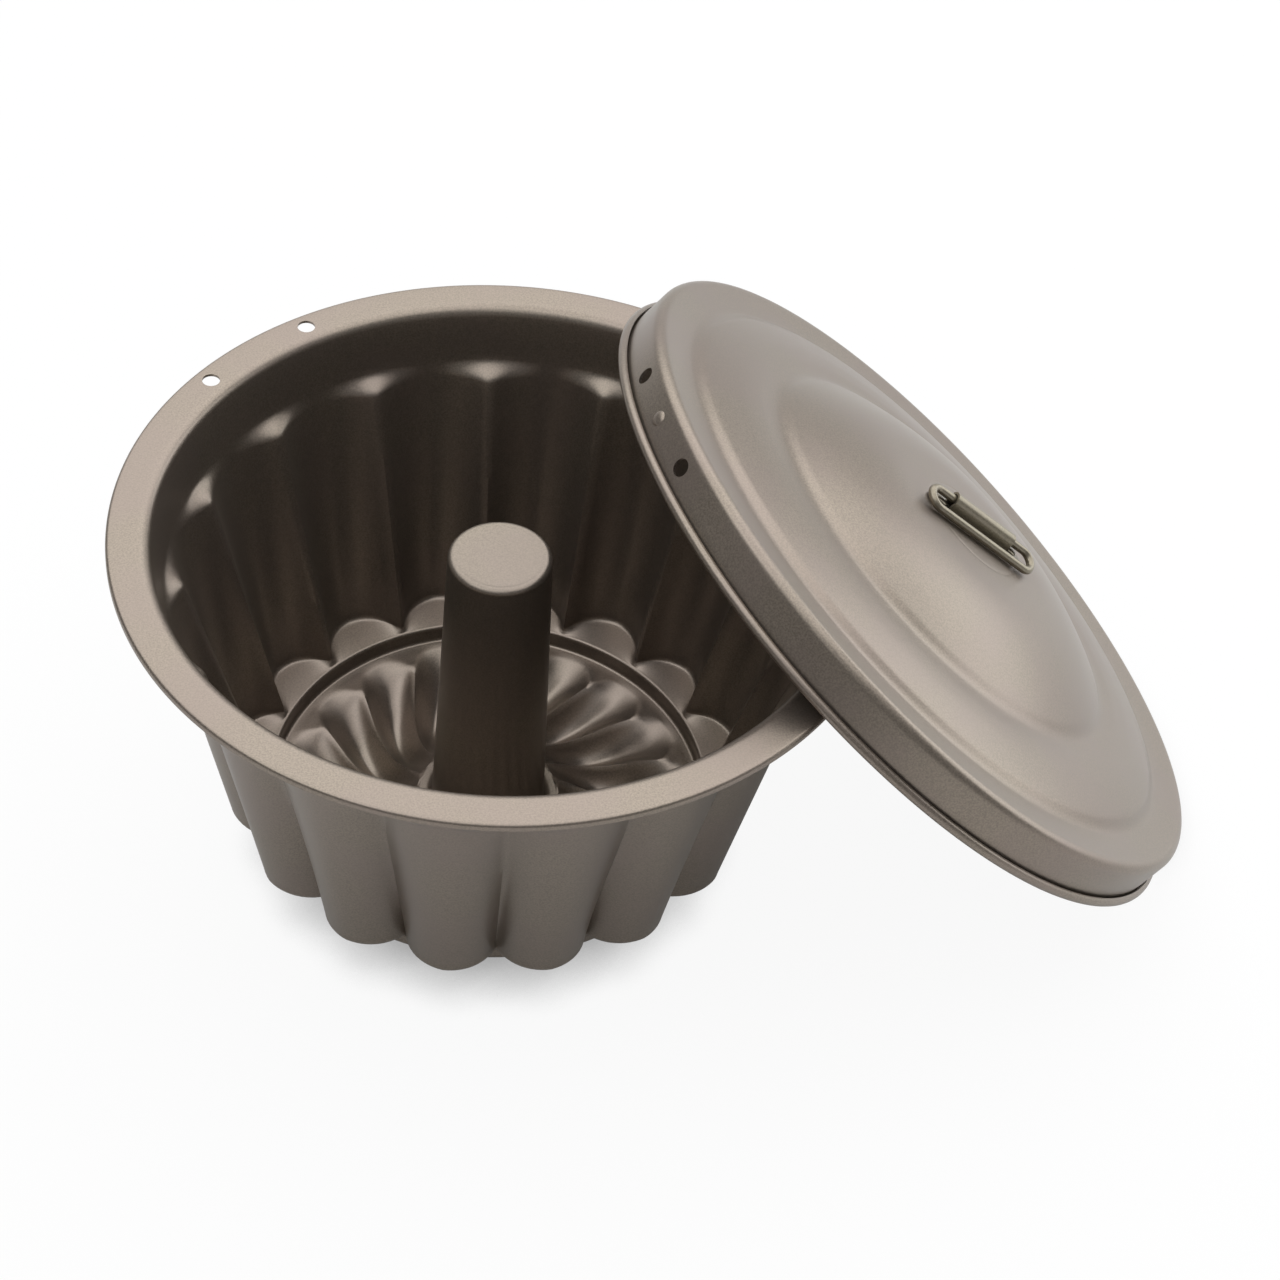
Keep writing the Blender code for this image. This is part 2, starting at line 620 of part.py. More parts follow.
def lid_inside_height(r):
    """Height of the lid's inner face above the crease, at a radius."""
    return between(r, lid_outer_profile()) - SHEET


def lid_place():
    """Lid's crease centre: bead on the floor, and the dome's inside just clear of the flange's edge."""
    z = BEAD_CENTRE_RADIUS * math.sin(TILT) - BEAD_CENTRE_HEIGHT * math.cos(TILT) + BEAD_RADIUS
    turn = Matrix.Rotation(TILT, 3, "Y")
    near, far = FLANGE_RADIUS, FLANGE_RADIUS + 0.5 * SKIRT_RADIUS
    for _ in range(40):
        x = 0.5 * (near + far)
        room = min(
            lid_inside_height(local.xy.length) - local.z
            for local in (
                turn.transposed() @ (
                    Vector((FLANGE_RADIUS * math.cos(a), FLANGE_RADIUS * math.sin(a), FLANGE_TOP))
                    - Vector((x, LID_SIDE_SHIFT, z))
                )
                for a in (math.radians(i) for i in range(-LEAN_ARC, LEAN_ARC + 1, 2))
            )
        )
        if room > LEAN_GAP:
            far = x
        else:
            near = x
    return Vector((far, LID_SIDE_SHIFT, z))


def main():
    clear_scene()
    collection = new_collection("steamed_pudding_mould")
    cutters = new_collection("cutters")
    coated = material("coated_steel", (0.345, 0.305, 0.262), 0.42, 0.85)
    coated_lid = material("coated_steel_lid", (0.315, 0.275, 0.235), 0.42, 0.85)
    coated_tube = material("coated_steel_tube", (0.300, 0.262, 0.222), 0.45, 0.85)
    wire = material("coated_wire", (0.270, 0.240, 0.200), 0.38, 0.90)
    clip_steel = material("coated_clip", (0.290, 0.255, 0.215), 0.40, 0.85)
    rivet_steel = material("coated_rivet", (0.330, 0.300, 0.260), 0.35, 0.90)

    place = lid_place()
    bead_reach = BEAD_CENTRE_RADIUS + BEAD_RADIUS
    right = place.x + max(r * math.cos(TILT) + z * math.sin(TILT) for r, z in lid_outer_profile())
    front = min(-FLANGE_RADIUS, LID_SIDE_SHIFT - bead_reach)
    back = max(FLANGE_RADIUS, LID_SIDE_SHIFT + bead_reach)

    base = bpy.data.objects.new("mould_base", None)
    collection.objects.link(base)
    base.location = (-0.5 * (right - FLANGE_RADIUS), -0.5 * (front + back), 0.0)
    lid_frame = bpy.data.objects.new("lid_frame", None)
    collection.objects.link(lid_frame)
    lid_frame.parent = base
    lid_frame.location = place
    lid_frame.rotation_euler.y = TILT
    hinge = bpy.data.objects.new("handle_hinge", None)
    collection.objects.link(hinge)
    hinge.parent = lid_frame
    hinge.location = (0.0, 0.0, DOME_HEIGHT + HINGE_HEIGHT)
    hinge.rotation_euler.z = math.radians(HINGE_ANGLE)

    make_basin(collection, cutters, coated).parent = base
    make_tube(collection, cutters, coated_tube).parent = base
    make_lid(collection, cutters, coated_lid).parent = lid_frame
    make_clip(collection, cutters, clip_steel).parent = hinge
    make_bail(collection, cutters, wire).parent = hinge
    make_rivet("handle_rivet_upper", RIVET_OFFSET, collection, cutters, rivet_steel).parent = hinge
    make_rivet("handle_rivet_lower", -RIVET_OFFSET, collection, cutters, rivet_steel).parent = hinge


main()
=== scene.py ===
"""Steamed pudding mould: its pressed and coated surfaces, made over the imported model.

The file is laid out as an add-on: settings, an operator for each piece, a panel, and a main function
that runs the operators in order. Lengths are metres, +Z is up and the floor is z = 0.
"""

import json
import math

import bmesh
import bpy
from bpy.props import FloatProperty, FloatVectorProperty, IntProperty, PointerProperty
from mathutils import Matrix, Vector


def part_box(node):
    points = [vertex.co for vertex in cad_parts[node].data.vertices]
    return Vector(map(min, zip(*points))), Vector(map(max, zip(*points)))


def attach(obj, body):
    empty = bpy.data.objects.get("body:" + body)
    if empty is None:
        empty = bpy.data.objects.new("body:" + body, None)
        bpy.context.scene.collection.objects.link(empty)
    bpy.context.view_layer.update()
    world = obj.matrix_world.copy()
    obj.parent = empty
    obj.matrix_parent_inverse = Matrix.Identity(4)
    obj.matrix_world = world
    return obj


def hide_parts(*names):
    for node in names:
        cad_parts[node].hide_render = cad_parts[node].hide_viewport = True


bl_info = {
    "name": "Steamed pudding mould",
    "version": (1, 0, 0),
    "blender": (4, 5, 0),
    "location": "View3D > Sidebar > Mould",
    "description": "Builds a fluted pudding mould with its centre tube, lid and wire handle",
    "category": "Add Mesh",
}

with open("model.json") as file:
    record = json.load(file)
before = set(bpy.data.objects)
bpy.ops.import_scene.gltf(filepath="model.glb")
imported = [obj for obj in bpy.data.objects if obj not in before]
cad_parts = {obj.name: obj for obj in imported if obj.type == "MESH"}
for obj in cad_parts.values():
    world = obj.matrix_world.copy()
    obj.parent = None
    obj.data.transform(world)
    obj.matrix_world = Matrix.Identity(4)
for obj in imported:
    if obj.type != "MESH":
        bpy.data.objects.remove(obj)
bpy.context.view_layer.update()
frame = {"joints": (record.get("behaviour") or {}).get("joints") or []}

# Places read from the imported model
BASIN_LOW, BASIN_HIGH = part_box("basin")
BASIN_CENTRE = Vector(((BASIN_LOW.x + BASIN_HIGH.x) / 2.0, (BASIN_LOW.y + BASIN_HIGH.y) / 2.0, 0.0))
TUBE_LOW, TUBE_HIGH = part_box("centre_tube")
JOINTS = {joint["name"]: joint for joint in frame["joints"]}
LID_AXIS = Vector(JOINTS["lid_lift"]["axis"]).normalized()
HINGE_AXIS = Vector(JOINTS["handle_swing"]["axis"]).normalized()
HINGE_PLACE = Vector(JOINTS["handle_swing"]["pos_m"])

MERGE = 0.000001                # points closer than this are one
TURN_STEPS = 360                # round the basin: twenty to a petal
LID_STEPS = 256
TUBE_STEPS = 96

COAT_METALLIC = 0.85
FLAKE_CONTRAST = 0.16           # light and dark of the flake, about the coat's colour
FLAKE_GLOSS = 0.05              # the same for its roughness
REFLECTION_TINT_SIZE = 0.026              # size of the slow noise that lays a painted mauve reflection tint at random over the coat
WHITE = (1.0, 1.0, 1.0, 1.0)
PAPER_SHOWN = 0.93              # share of the floor that the camera sees as white paper
PAPER_SIZE = 4.0                # half its width
FAR_START, FAR_END = 0.1, 0.8   # where floor and wall go from their near to their far tone

VIEW_HEADING = math.radians(19.13)
VIEW_PITCH = math.radians(45.01)
VIEW_ROLL = math.radians(5.58)
VIEW_FROM = Vector((-0.1525, -0.5480, 0.6391))      # from the basin's middle
SENSOR_WIDTH = 36.0             # millimetres, as Blender's camera takes it


def mm(value):
    """Millimetres as metres."""
    return value * 0.001


class BasinSettings(bpy.types.PropertyGroup):
    """Sizes of the fluted basin."""

    sheet: FloatProperty(
        name="Sheet", description="Thickness of the steel", default=mm(0.7), unit="LENGTH")
    flange_radius: FloatProperty(
        name="Flange radius", description="Outside of the flange",
        default=(BASIN_HIGH.x - BASIN_LOW.x) / 2.0, unit="LENGTH")
    rim_height: FloatProperty(
        name="Rim height", description="Floor to the flange's top", default=BASIN_HIGH.z, unit="LENGTH")
    mouth_radius: FloatProperty(
        name="Mouth radius", description="Where the flange turns down", default=mm(86.3), unit="LENGTH")
    mouth_rounding: FloatProperty(
        name="Mouth rounding", description="Round edge of the mouth", default=mm(3.0), unit="LENGTH")
    mouth_draft: FloatProperty(
        name="Mouth draft", description="Lean of the band under the mouth", default=math.radians(13.0),
        unit="ROTATION")
    fold: FloatProperty(
        name="Flange fold", description="Radius of the flange's edge", default=mm(0.9), unit="LENGTH")
    lip: FloatProperty(
        name="Flange lip", description="Depth of the turned-down edge", default=mm(1.7), unit="LENGTH")
    band: FloatProperty(
        name="Plain band", description="Height of the band over the flutes",
        default=mm(14.5), unit="LENGTH")
    flutes: IntProperty(name="Flutes", description="Number of flutes", default=16, min=3)
    flute_top: FloatProperty(
        name="Flute top radius", description="Bottom of a flute under the band",
        default=mm(80.9), unit="LENGTH")
    flute_foot: FloatProperty(
        name="Flute foot radius", description="Bottom of a flute at its pad",
        default=mm(66.3), unit="LENGTH")
    rib_top: FloatProperty(
        name="Rib depth, top", description="A rib's height at its shoulder",
        default=mm(4.1), unit="LENGTH")
    rib_foot: FloatProperty(
        name="Rib depth, foot", description="A rib's height at its foot",
        default=mm(9.0), unit="LENGTH")
    shoulder: FloatProperty(
        name="Rib shoulder", description="Height over which a rib fades out",
        default=mm(4.2), unit="LENGTH")
    rib_angle: FloatProperty(
        name="Rib angle", description="Direction of the first rib",
        default=math.radians(10.9), unit="ROTATION")
    foot_roundness: FloatProperty(
        name="Roundness, foot", description="0 is a flat flute and 1 a half-round one", default=0.96,
        min=0.1, max=0.99)
    top_roundness: FloatProperty(
        name="Roundness, top", description="The same, under the band", default=0.70, min=0.1, max=0.99)
    rib_edge: FloatProperty(
        name="Rib edge", description="Round edge of a rib, as a share of half a flute", default=0.09,
        min=0.01, max=0.5)
    pad_height: FloatProperty(
        name="Pad height", description="Pads above the floor", default=mm(16.0), unit="LENGTH")
    pad_rounding: FloatProperty(
        name="Pad rounding", description="Height from a pad to its flute's wall",
        default=mm(3.0), unit="LENGTH")
    pad_tilt: FloatProperty(
        name="Pad tilt", description="Rise of the pads outwards",
        default=math.radians(9.0), unit="ROTATION")
    step_radius: FloatProperty(
        name="Step radius", description="Upright step inside the pads", default=mm(55.7), unit="LENGTH")
    step_rounding: FloatProperty(
        name="Step rounding", description="Round edges of the step", default=mm(0.9), unit="LENGTH")
    ledge_height: FloatProperty(
        name="Ledge height", description="Narrow ledge under the step", default=mm(11.3), unit="LENGTH")
    ledge_width: FloatProperty(
        name="Ledge width", description="Ledge from step to petals", default=mm(2.7), unit="LENGTH")
    petals: IntProperty(name="Petals", description="Number of swirled petals", default=18, min=3)
    petal_reach: FloatProperty(
        name="Petal reach", description="Radius where the ridges begin",
        default=mm(47.5), unit="LENGTH")
    petal_depth: FloatProperty(
        name="Petal depth", description="Deepest sag of a petal", default=mm(4.9), unit="LENGTH")
    petal_twist: FloatProperty(
        name="Petal twist", description="Turn of a ridge on its way in", default=math.radians(24.0),
        unit="ROTATION")
    petal_curl: FloatProperty(
        name="Petal curl", description="Over 1, a ridge turns more near the collar",
        default=1.2, min=0.5)
    petal_lip: FloatProperty(
        name="Petal lip", description="Share of a petal's width at the ledge",
        default=0.55, min=0.1, max=1.0)
    ridge_edge: FloatProperty(
        name="Ridge edge", description="Round edge of a ridge, as a share of half a petal",
        default=0.07,
        min=0.01, max=0.5)
    petal_angle: FloatProperty(
        name="Petal angle", description="Direction of the first ridge", default=math.radians(1.3),
        unit="ROTATION")
    dip_radius: FloatProperty(
        name="Dip radius", description="Ring where the floor is lowest",
        default=mm(32.0), unit="LENGTH")
    collar_height: FloatProperty(
        name="Collar height", description="Flat collar under the tube", default=mm(9.0), unit="LENGTH")
    collar_radius: FloatProperty(
        name="Collar radius", description="Outside of the collar", default=mm(18.5), unit="LENGTH")
    collar_hole: FloatProperty(
        name="Collar hole", description="Hole in the floor under the tube",
        default=mm(13.5), unit="LENGTH")
    hole_radius: FloatProperty(
        name="Clip hole radius", description="Holes for a spring clip", default=mm(2.25), unit="LENGTH")
    hole_ring: FloatProperty(
        name="Clip hole ring", description="Pitch radius on the flange",
        default=mm(89.3), unit="LENGTH")
    hole_angle: FloatProperty(
        name="Clip hole angle", description="Middle of the pair",
        default=math.radians(120.6), unit="ROTATION")
    hole_spread: FloatProperty(
        name="Clip hole spread", description="Angle between the pair", default=math.radians(20.4),
        unit="ROTATION")


class TubeSettings(bpy.types.PropertyGroup):
    """Sizes of the centre tube."""

    top_radius: FloatProperty(
        name="Top radius", description="Tube at its top", default=mm(12.8), unit="LENGTH")
    base_radius: FloatProperty(
        name="Base radius", description="Tube above its foot", default=mm(14.5), unit="LENGTH")
    rounding: FloatProperty(
        name="Top rounding", description="Round edge of the top", default=mm(1.5), unit="LENGTH")
    foot: FloatProperty(
        name="Foot width", description="Turned-out foot", default=mm(3.2), unit="LENGTH")
    recess: FloatProperty(
        name="Top recess", description="Depth of the pressed disc in the top",
        default=mm(0.12), unit="LENGTH")
    recess_margin: FloatProperty(
        name="Recess margin", description="Edge left round the disc", default=mm(2.1), unit="LENGTH")


class LidSettings(bpy.types.PropertyGroup):
    """Sizes of the lid, its heights above the crease between bead and skirt."""

    sheet: FloatProperty(
        name="Sheet", description="Thickness of the steel", default=mm(0.7), unit="LENGTH")
    skirt_radius: FloatProperty(
        name="Skirt radius", description="Outside of the skirt", default=mm(95.6), unit="LENGTH")
    edge_height: FloatProperty(
        name="Edge height", description="Outer ring above the crease", default=mm(10.9), unit="LENGTH")
    edge_rounding: FloatProperty(
        name="Edge rounding", description="Skirt into outer ring", default=mm(2.4), unit="LENGTH")
    ring_drop: FloatProperty(
        name="Ring drop", description="Fall of the outer ring inwards", default=mm(0.7), unit="LENGTH")
    middle_radius: FloatProperty(
        name="Middle step radius", description="Step up to the middle ring",
        default=mm(81.7), unit="LENGTH")
    middle_rise: FloatProperty(
        name="Middle step rise", description="Height of that step", default=mm(1.9), unit="LENGTH")
    middle_crown: FloatProperty(
        name="Middle ring rise", description="Rise of the middle ring inwards",
        default=mm(2.8), unit="LENGTH")
    dome_radius: FloatProperty(
        name="Dome step radius", description="Step up to the dome", default=mm(56.6), unit="LENGTH")
    dome_rise: FloatProperty(
        name="Dome step rise", description="Height of that step", default=mm(2.0), unit="LENGTH")
    dome_height: FloatProperty(
        name="Dome height", description="Crown above the crease", default=mm(25.4), unit="LENGTH")
    crown_flat: FloatProperty(
        name="Crown flat", description="Flat crown round the clip", default=mm(18.7), unit="LENGTH")
    ring_mark: FloatProperty(
        name="Ring mark", description="Radius of the shallow groove on the crown",
        default=mm(15.0), unit="LENGTH")
    bead_radius: FloatProperty(
        name="Bead radius", description="Curl along the skirt's edge", default=mm(1.3), unit="LENGTH")
    hole_radius: FloatProperty(
        name="Clip hole radius", description="Holes for a spring clip", default=mm(2.25), unit="LENGTH")
    hole_height: FloatProperty(
        name="Clip hole height", description="Holes above the crease", default=mm(4.6), unit="LENGTH")
    hole_angle: FloatProperty(
        name="Clip hole angle", description="Middle of the pair",
        default=math.radians(178.3), unit="ROTATION")
    hole_spread: FloatProperty(
        name="Clip hole spread", description="Angle between the pair", default=math.radians(20.4),
        unit="ROTATION")
    pip_radius: FloatProperty(
        name="Pip radius", description="Pressed pip between the holes", default=mm(2.1), unit="LENGTH")
    pip_proud: FloatProperty(
        name="Pip height", description="Pip above the skirt", default=mm(0.6), unit="LENGTH")


class HandleSettings(bpy.types.PropertyGroup):
    """Sizes of the wire handle, its clip and rivets."""

    wire_radius: FloatProperty(
        name="Wire radius", description="Round wire of the handle", default=mm(1.1), unit="LENGTH")
    half_length: FloatProperty(
        name="Half length", description="Half the handle's length", default=mm(19.0), unit="LENGTH")
    reach: FloatProperty(
        name="Reach", description="Hinge to the grip", default=mm(6.0), unit="LENGTH")
    lift: FloatProperty(
        name="Lift", description="Handle above level, folded down on the crown",
        default=math.radians(-18.0), unit="ROTATION")
    clip_sheet: FloatProperty(
        name="Clip sheet", description="Thickness of the clip", default=mm(0.6), unit="LENGTH")
    clip_barrel: FloatProperty(
        name="Clip barrel", description="Half length of the barrel", default=mm(11.0), unit="LENGTH")
    clip_ear: FloatProperty(
        name="Clip ear", description="Ear beyond the barrel", default=mm(6.2), unit="LENGTH")
    rivet_inset: FloatProperty(
        name="Rivet inset", description="Barrel's end to a rivet", default=mm(2.3), unit="LENGTH")
    clip_foot: FloatProperty(
        name="Clip foot", description="Foot beside the barrel", default=mm(1.6), unit="LENGTH")
    fit: FloatProperty(
        name="Fit", description="Gap between pieces that touch", default=mm(0.3), unit="LENGTH")
    rivet_radius: FloatProperty(
        name="Rivet radius", description="Rivet's shank", default=mm(1.1), unit="LENGTH")
    rivet_head: FloatProperty(
        name="Rivet head radius", description="Rivet's head", default=mm(1.9), unit="LENGTH")
    rivet_rise: FloatProperty(
        name="Rivet head height", description="Height of the head", default=mm(0.7), unit="LENGTH")


def linear(code):
    """An sRGB hex colour as linear red, green and blue."""
    parts = [int(code[i:i + 2], 16) / 255.0 for i in (1, 3, 5)]
    return tuple(c / 12.92 if c <= 0.04045 else ((c + 0.055) / 1.055) ** 2.4 for c in parts)


class FinishSettings(bpy.types.PropertyGroup):
    """Colours and gloss of the coats."""

    basin_coat: FloatVectorProperty(
        name="Basin coat", description="Non-stick coat inside and out", size=3, subtype="COLOR",
        default=linear("#867C71"), min=0.0, max=1.0)
    lid_coat: FloatVectorProperty(
        name="Lid coat", description="Non-stick coat on the lid", size=3, subtype="COLOR",
        default=linear("#867C71"), min=0.0, max=1.0)
    tube_coat: FloatVectorProperty(
        name="Tube coat", description="Non-stick coat on the tube", size=3, subtype="COLOR",
        default=linear("#80776C"), min=0.0, max=1.0)
    wire_coat: FloatVectorProperty(
        name="Wire coat", description="Coat on the handle's wire", size=3, subtype="COLOR",
        default=linear("#837C6C"), min=0.0, max=1.0)
    roughness: FloatProperty(
        name="Roughness", description="Satin of the coat",
        default=0.37, min=0.0, max=1.0, subtype="FACTOR")
    grain: FloatProperty(
        name="Grain", description="Size of the coat's metallic grain", default=mm(0.45), unit="LENGTH")


class StageSettings(bpy.types.PropertyGroup):
    """Floor, lights and camera."""

    floor: FloatVectorProperty(
        name="Floor", description="Colour of the pale floor", size=3, subtype="COLOR",
        default=linear("#E0E0E0"), min=0.0, max=1.0)
    softbox: FloatProperty(
        name="Softbox", description="Brightness of the overhead softbox, white being 1",
        default=1.75, min=0.0)
    panel: FloatProperty(
        name="Side panel", description="Brightness of the panel behind the lid", default=2.0, min=0.0)
    ambient: FloatProperty(
        name="Ambient", description="Brightness of the room over the camera", default=0.25, min=0.0)
    backdrop: FloatProperty(
        name="Backdrop in reflections", description="How white metal shows the wall behind",
        default=0.8, min=0.0,
        max=1.0, subtype="FACTOR")
    floor_gloss: FloatProperty(
        name="Floor in reflections", description="How white metal shows the floor in front",
        default=0.12,
        min=0.0, max=1.0, subtype="FACTOR")
    floor_gloss_behind: FloatProperty(
        name="Floor behind in reflections", description="The same for the floor behind the object",
        default=0.5,
        min=0.0, max=1.0, subtype="FACTOR")
    fill: FloatProperty(
        name="Fill", description="Brightness of the fill light over the camera", default=1.0, min=0.0)
    shadow_reach: FloatProperty(
        name="Shadow reach", description="How far the contact shadow spreads",
        default=mm(18.0), unit="LENGTH")
    shadow_tone: FloatProperty(
        name="Shadow tone", description="Floor under the object, white being 1", default=0.35, min=0.0,
        max=1.0, subtype="FACTOR")
    lens: FloatProperty(name="Lens", description="Focal length in millimetres", default=91.57, min=1.0)


def material_tree(name):
    """A new material, its node tree and its Principled shader."""
    made = bpy.data.materials.new(name)
    made.use_nodes = True
    return made, made.node_tree, made.node_tree.nodes["Principled BSDF"]


def add_node(tree, kind, sockets=(), **settings):
    """Add a node: settings are its options, sockets its inputs, each a value or an output."""
    node = tree.nodes.new(kind)
    for name, value in settings.items():
        setattr(node, name, value)
    for socket, value in dict(sockets).items():
        if isinstance(value, bpy.types.NodeSocket):
            tree.links.new(value, node.inputs[socket])
        else:
            node.inputs[socket].default_value = value
    return node


def coated_steel(name, colour, finish, shine=0.0):
    """Non-stick coat with fine metal flake, sprayed on pressed steel: satin, with a fine sparkle."""
    made, tree, shader = material_tree(name)
    roughness = finish.roughness - shine
    place = add_node(tree, "ShaderNodeTexCoord").outputs["Object"]
    flake = add_node(tree, "ShaderNodeTexNoise", {
        "Vector": place, "Scale": 1.0 / finish.grain, "Detail": 2.0, "Roughness": 0.6})
    # painted reflection: this slow noise places a mauve tint in the base colour, standing in for cool
    # light reflected from the room
    tint_noise = add_node(tree, "ShaderNodeTexNoise", {
        "Vector": place, "Scale": 1.0 / REFLECTION_TINT_SIZE, "Detail": 2.0, "Roughness": 0.5})
    pale = tuple(min(1.0, c * (1.0 + FLAKE_CONTRAST)) for c in colour)
    deep = tuple(c * (1.0 - FLAKE_CONTRAST) for c in colour)
    grains = add_node(tree, "ShaderNodeMapRange", {
        "Value": flake.outputs["Fac"], "From Min": 0.35, "From Max": 0.65})
    speckled = add_node(tree, "ShaderNodeMix", {
        "Factor": grains.outputs["Result"], "A": (*deep, 1.0), "B": (*pale, 1.0)}, data_type="RGBA")
    # painted reflection tint: a mauve shift of the coat's colour, mixed in up to 35% where the slow
    # noise is high
    reflected_mauve = (colour[0] * 1.02, colour[1] * 0.97, colour[2] * 1.06, 1.0)
    reflection_tint_share = add_node(tree, "ShaderNodeMapRange", {
        "Value": tint_noise.outputs["Fac"], "From Min": 0.4, "From Max": 0.6, "To Max": 0.35})
    speckled_with_reflection_tint = add_node(tree, "ShaderNodeMix", {
        "Factor": reflection_tint_share.outputs["Result"], "A": speckled.outputs["Result"], "B": reflected_mauve},
        data_type="RGBA")
    satin = add_node(tree, "ShaderNodeMapRange", {
        "Value": flake.outputs["Fac"], "From Min": 0.3, "From Max": 0.7,
        "To Min": roughness - FLAKE_GLOSS, "To Max": roughness + FLAKE_GLOSS})
    bump = add_node(tree, "ShaderNodeBump", {
        "Strength": 0.12, "Distance": mm(0.05), "Height": flake.outputs["Fac"]})
    tree.links.new(speckled_with_reflection_tint.outputs["Result"], shader.inputs["Base Color"])
    tree.links.new(satin.outputs["Result"], shader.inputs["Roughness"])
    tree.links.new(bump.outputs["Normal"], shader.inputs["Normal"])
    shader.inputs["Metallic"].default_value = COAT_METALLIC
    return made


def through(x, table):
    """Read a value at x from a short table of (x, value) pairs, along one smooth curve."""
    if x <= table[0][0]:
        return table[0][1]
    if x >= table[-1][0]:
        return table[-1][1]
    slopes = []
    for i, (here, value) in enumerate(table):
        before = table[max(0, i - 1)]
        after = table[min(len(table) - 1, i + 1)]
        slopes.append((after[1] - before[1]) / (after[0] - before[0]))
    for i, (end, high) in enumerate(table[1:]):
        if x <= end:
            start, low = table[i]
            span = end - start
            t = (x - start) / span
            rise = t * t * (3.0 - 2.0 * t)
            ease = t * (1.0 - t) * ((1.0 - t) * slopes[i] - t * slopes[i + 1]) * span
            return low + (high - low) * rise + ease


def smooth(t):
    """Ease from 0 to 1 with level ends."""
    t = min(1.0, max(0.0, t))
    return t * t * (3.0 - 2.0 * t)


def arc(centre, radius, start, end, steps):
    """Points on an arc in the profile plane, angles in degrees."""
    angles = [math.radians(start + (end - start) * i / steps) for i in range(steps + 1)]
    return [(centre[0] + radius * math.cos(a), centre[1] + radius * math.sin(a)) for a in angles]


def spaced(start, end, spacing):
    """Even steps from start to end, no longer than the spacing."""
    count = max(1, math.ceil(abs(end - start) / spacing))
    return [start + (end - start) * i / count for i in range(count + 1)]


def turned(profile, steps):
    """Spin a profile of (radius, height) points round Z."""
    bm = bmesh.new()
    verts = [bm.verts.new((r, 0.0, z)) for r, z in profile]
    edges = [bm.edges.new(pair) for pair in zip(verts, verts[1:])]
    bmesh.ops.spin(
        bm, geom=verts + edges, cent=(0, 0, 0), axis=(0, 0, 1), angle=2.0 * math.pi, steps=steps,
        use_merge=True)
    bmesh.ops.remove_doubles(bm, verts=bm.verts, dist=MERGE)
    bmesh.ops.recalc_face_normals(bm, faces=bm.faces)
    return bm


def section(outer, thickness):
    """Close an outer profile with its inner face, one thickness inside."""
    inner = []
    for i, point in enumerate(outer):
        here = Vector(point)
        before = (here - Vector(outer[i - 1])).normalized() if i else None
        after = (Vector(outer[i + 1]) - here).normalized() if i < len(outer) - 1 else None
        before = before or after
        after = after or before
        inward = Vector((before.y + after.y, -before.x - after.x)).normalized()
        reach = thickness / max(0.3, inward.dot(Vector((before.y, -before.x))))
        inner.append((max(0.0, here.x + inward.x * reach), here.y + inward.y * reach))
    return outer + inner[::-1]


def plain_object(name, bm):
    """Make a bmesh an object in the scene."""
    mesh = bpy.data.meshes.new(name)
    bm.to_mesh(mesh)
    bm.free()
    made = bpy.data.objects.new(name, mesh)
    bpy.context.scene.collection.objects.link(made)
    return made


def new_piece(name, bm, finish):
    """Make a bmesh an object with its material."""
    piece = plain_object(name, bm)
    piece.data.materials.append(finish)
    return piece


def drawn_out(bm, faces, way):
    """Extrude faces along a vector into a closed solid."""
    grown = bmesh.ops.extrude_face_region(bm, geom=faces)["geom"]
    moved = [item for item in grown if isinstance(item, bmesh.types.BMVert)]
    bmesh.ops.translate(bm, verts=moved, vec=way)
    bmesh.ops.recalc_face_normals(bm, faces=bm.faces)


def cylinder(radius, length, place):
    """A short cylinder that punches a hole."""
    bm = bmesh.new()
    bmesh.ops.create_cone(bm, cap_ends=True, segments=48, radius1=radius, radius2=radius, depth=length)
    bmesh.ops.transform(bm, matrix=place, verts=bm.verts)
    return plain_object("punch", bm)


def settle(piece, cutters=(), joined=None, sharp=math.radians(38.0)):
    """Punch the holes, join what is pressed out, apply the modifiers to the mesh and shade it."""
    tools = [(cutter, "DIFFERENCE") for cutter in cutters]
    if joined:
        tools.append((joined, "UNION"))
    for tool, operation in tools:
        change = piece.modifiers.new(tool.name, "BOOLEAN")
        change.operation = operation
        change.object = tool
        change.solver = "EXACT"
    graph = bpy.context.evaluated_depsgraph_get()
    mesh = bpy.data.meshes.new_from_object(piece.evaluated_get(graph))
    piece.modifiers.clear()
    mesh.name = piece.name
    piece.data = mesh
    for tool, operation in tools:
        bpy.data.objects.remove(tool, do_unlink=True)
    mesh.shade_smooth()
    mesh.set_sharp_from_angle(angle=sharp)


def seat(piece, place, body, node):
    """Put a finished piece in its place, on its body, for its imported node."""
    piece.data.transform(place)
    piece.data.update()
    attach(piece, body)
    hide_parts(node)


def basin_place():
    """The basin's own axes in the world."""
    return Matrix.Translation(BASIN_CENTRE)


def hinge_place():
    """The handle's axes in the world: X along the hinge, Z along the lid's axis."""
    across = LID_AXIS.cross(HINGE_AXIS)
    turn = Matrix((HINGE_AXIS, across, LID_AXIS)).transposed().to_4x4()
    return Matrix.Translation(HINGE_PLACE) @ turn


def hinge_height(handle):
    """Hinge line above the lid's crown."""
    rivet_top = handle.fit + handle.clip_sheet + handle.fit + handle.rivet_rise
    return rivet_top + handle.fit + handle.wire_radius


def lid_place(lid, handle):
    """The lid's axes in the world, its origin at the middle of the crease, X down its slope."""
    centre = HINGE_PLACE - LID_AXIS * (lid.dome_height + hinge_height(handle))
    side = Vector((0.0, 1.0, 0.0))
    turn = Matrix((side.cross(LID_AXIS), side, LID_AXIS)).transposed().to_4x4()
    return Matrix.Translation(centre) @ turn


def mix(start, end, share):
    """Go a share of the way from start to end."""
    return start + (end - start) * share


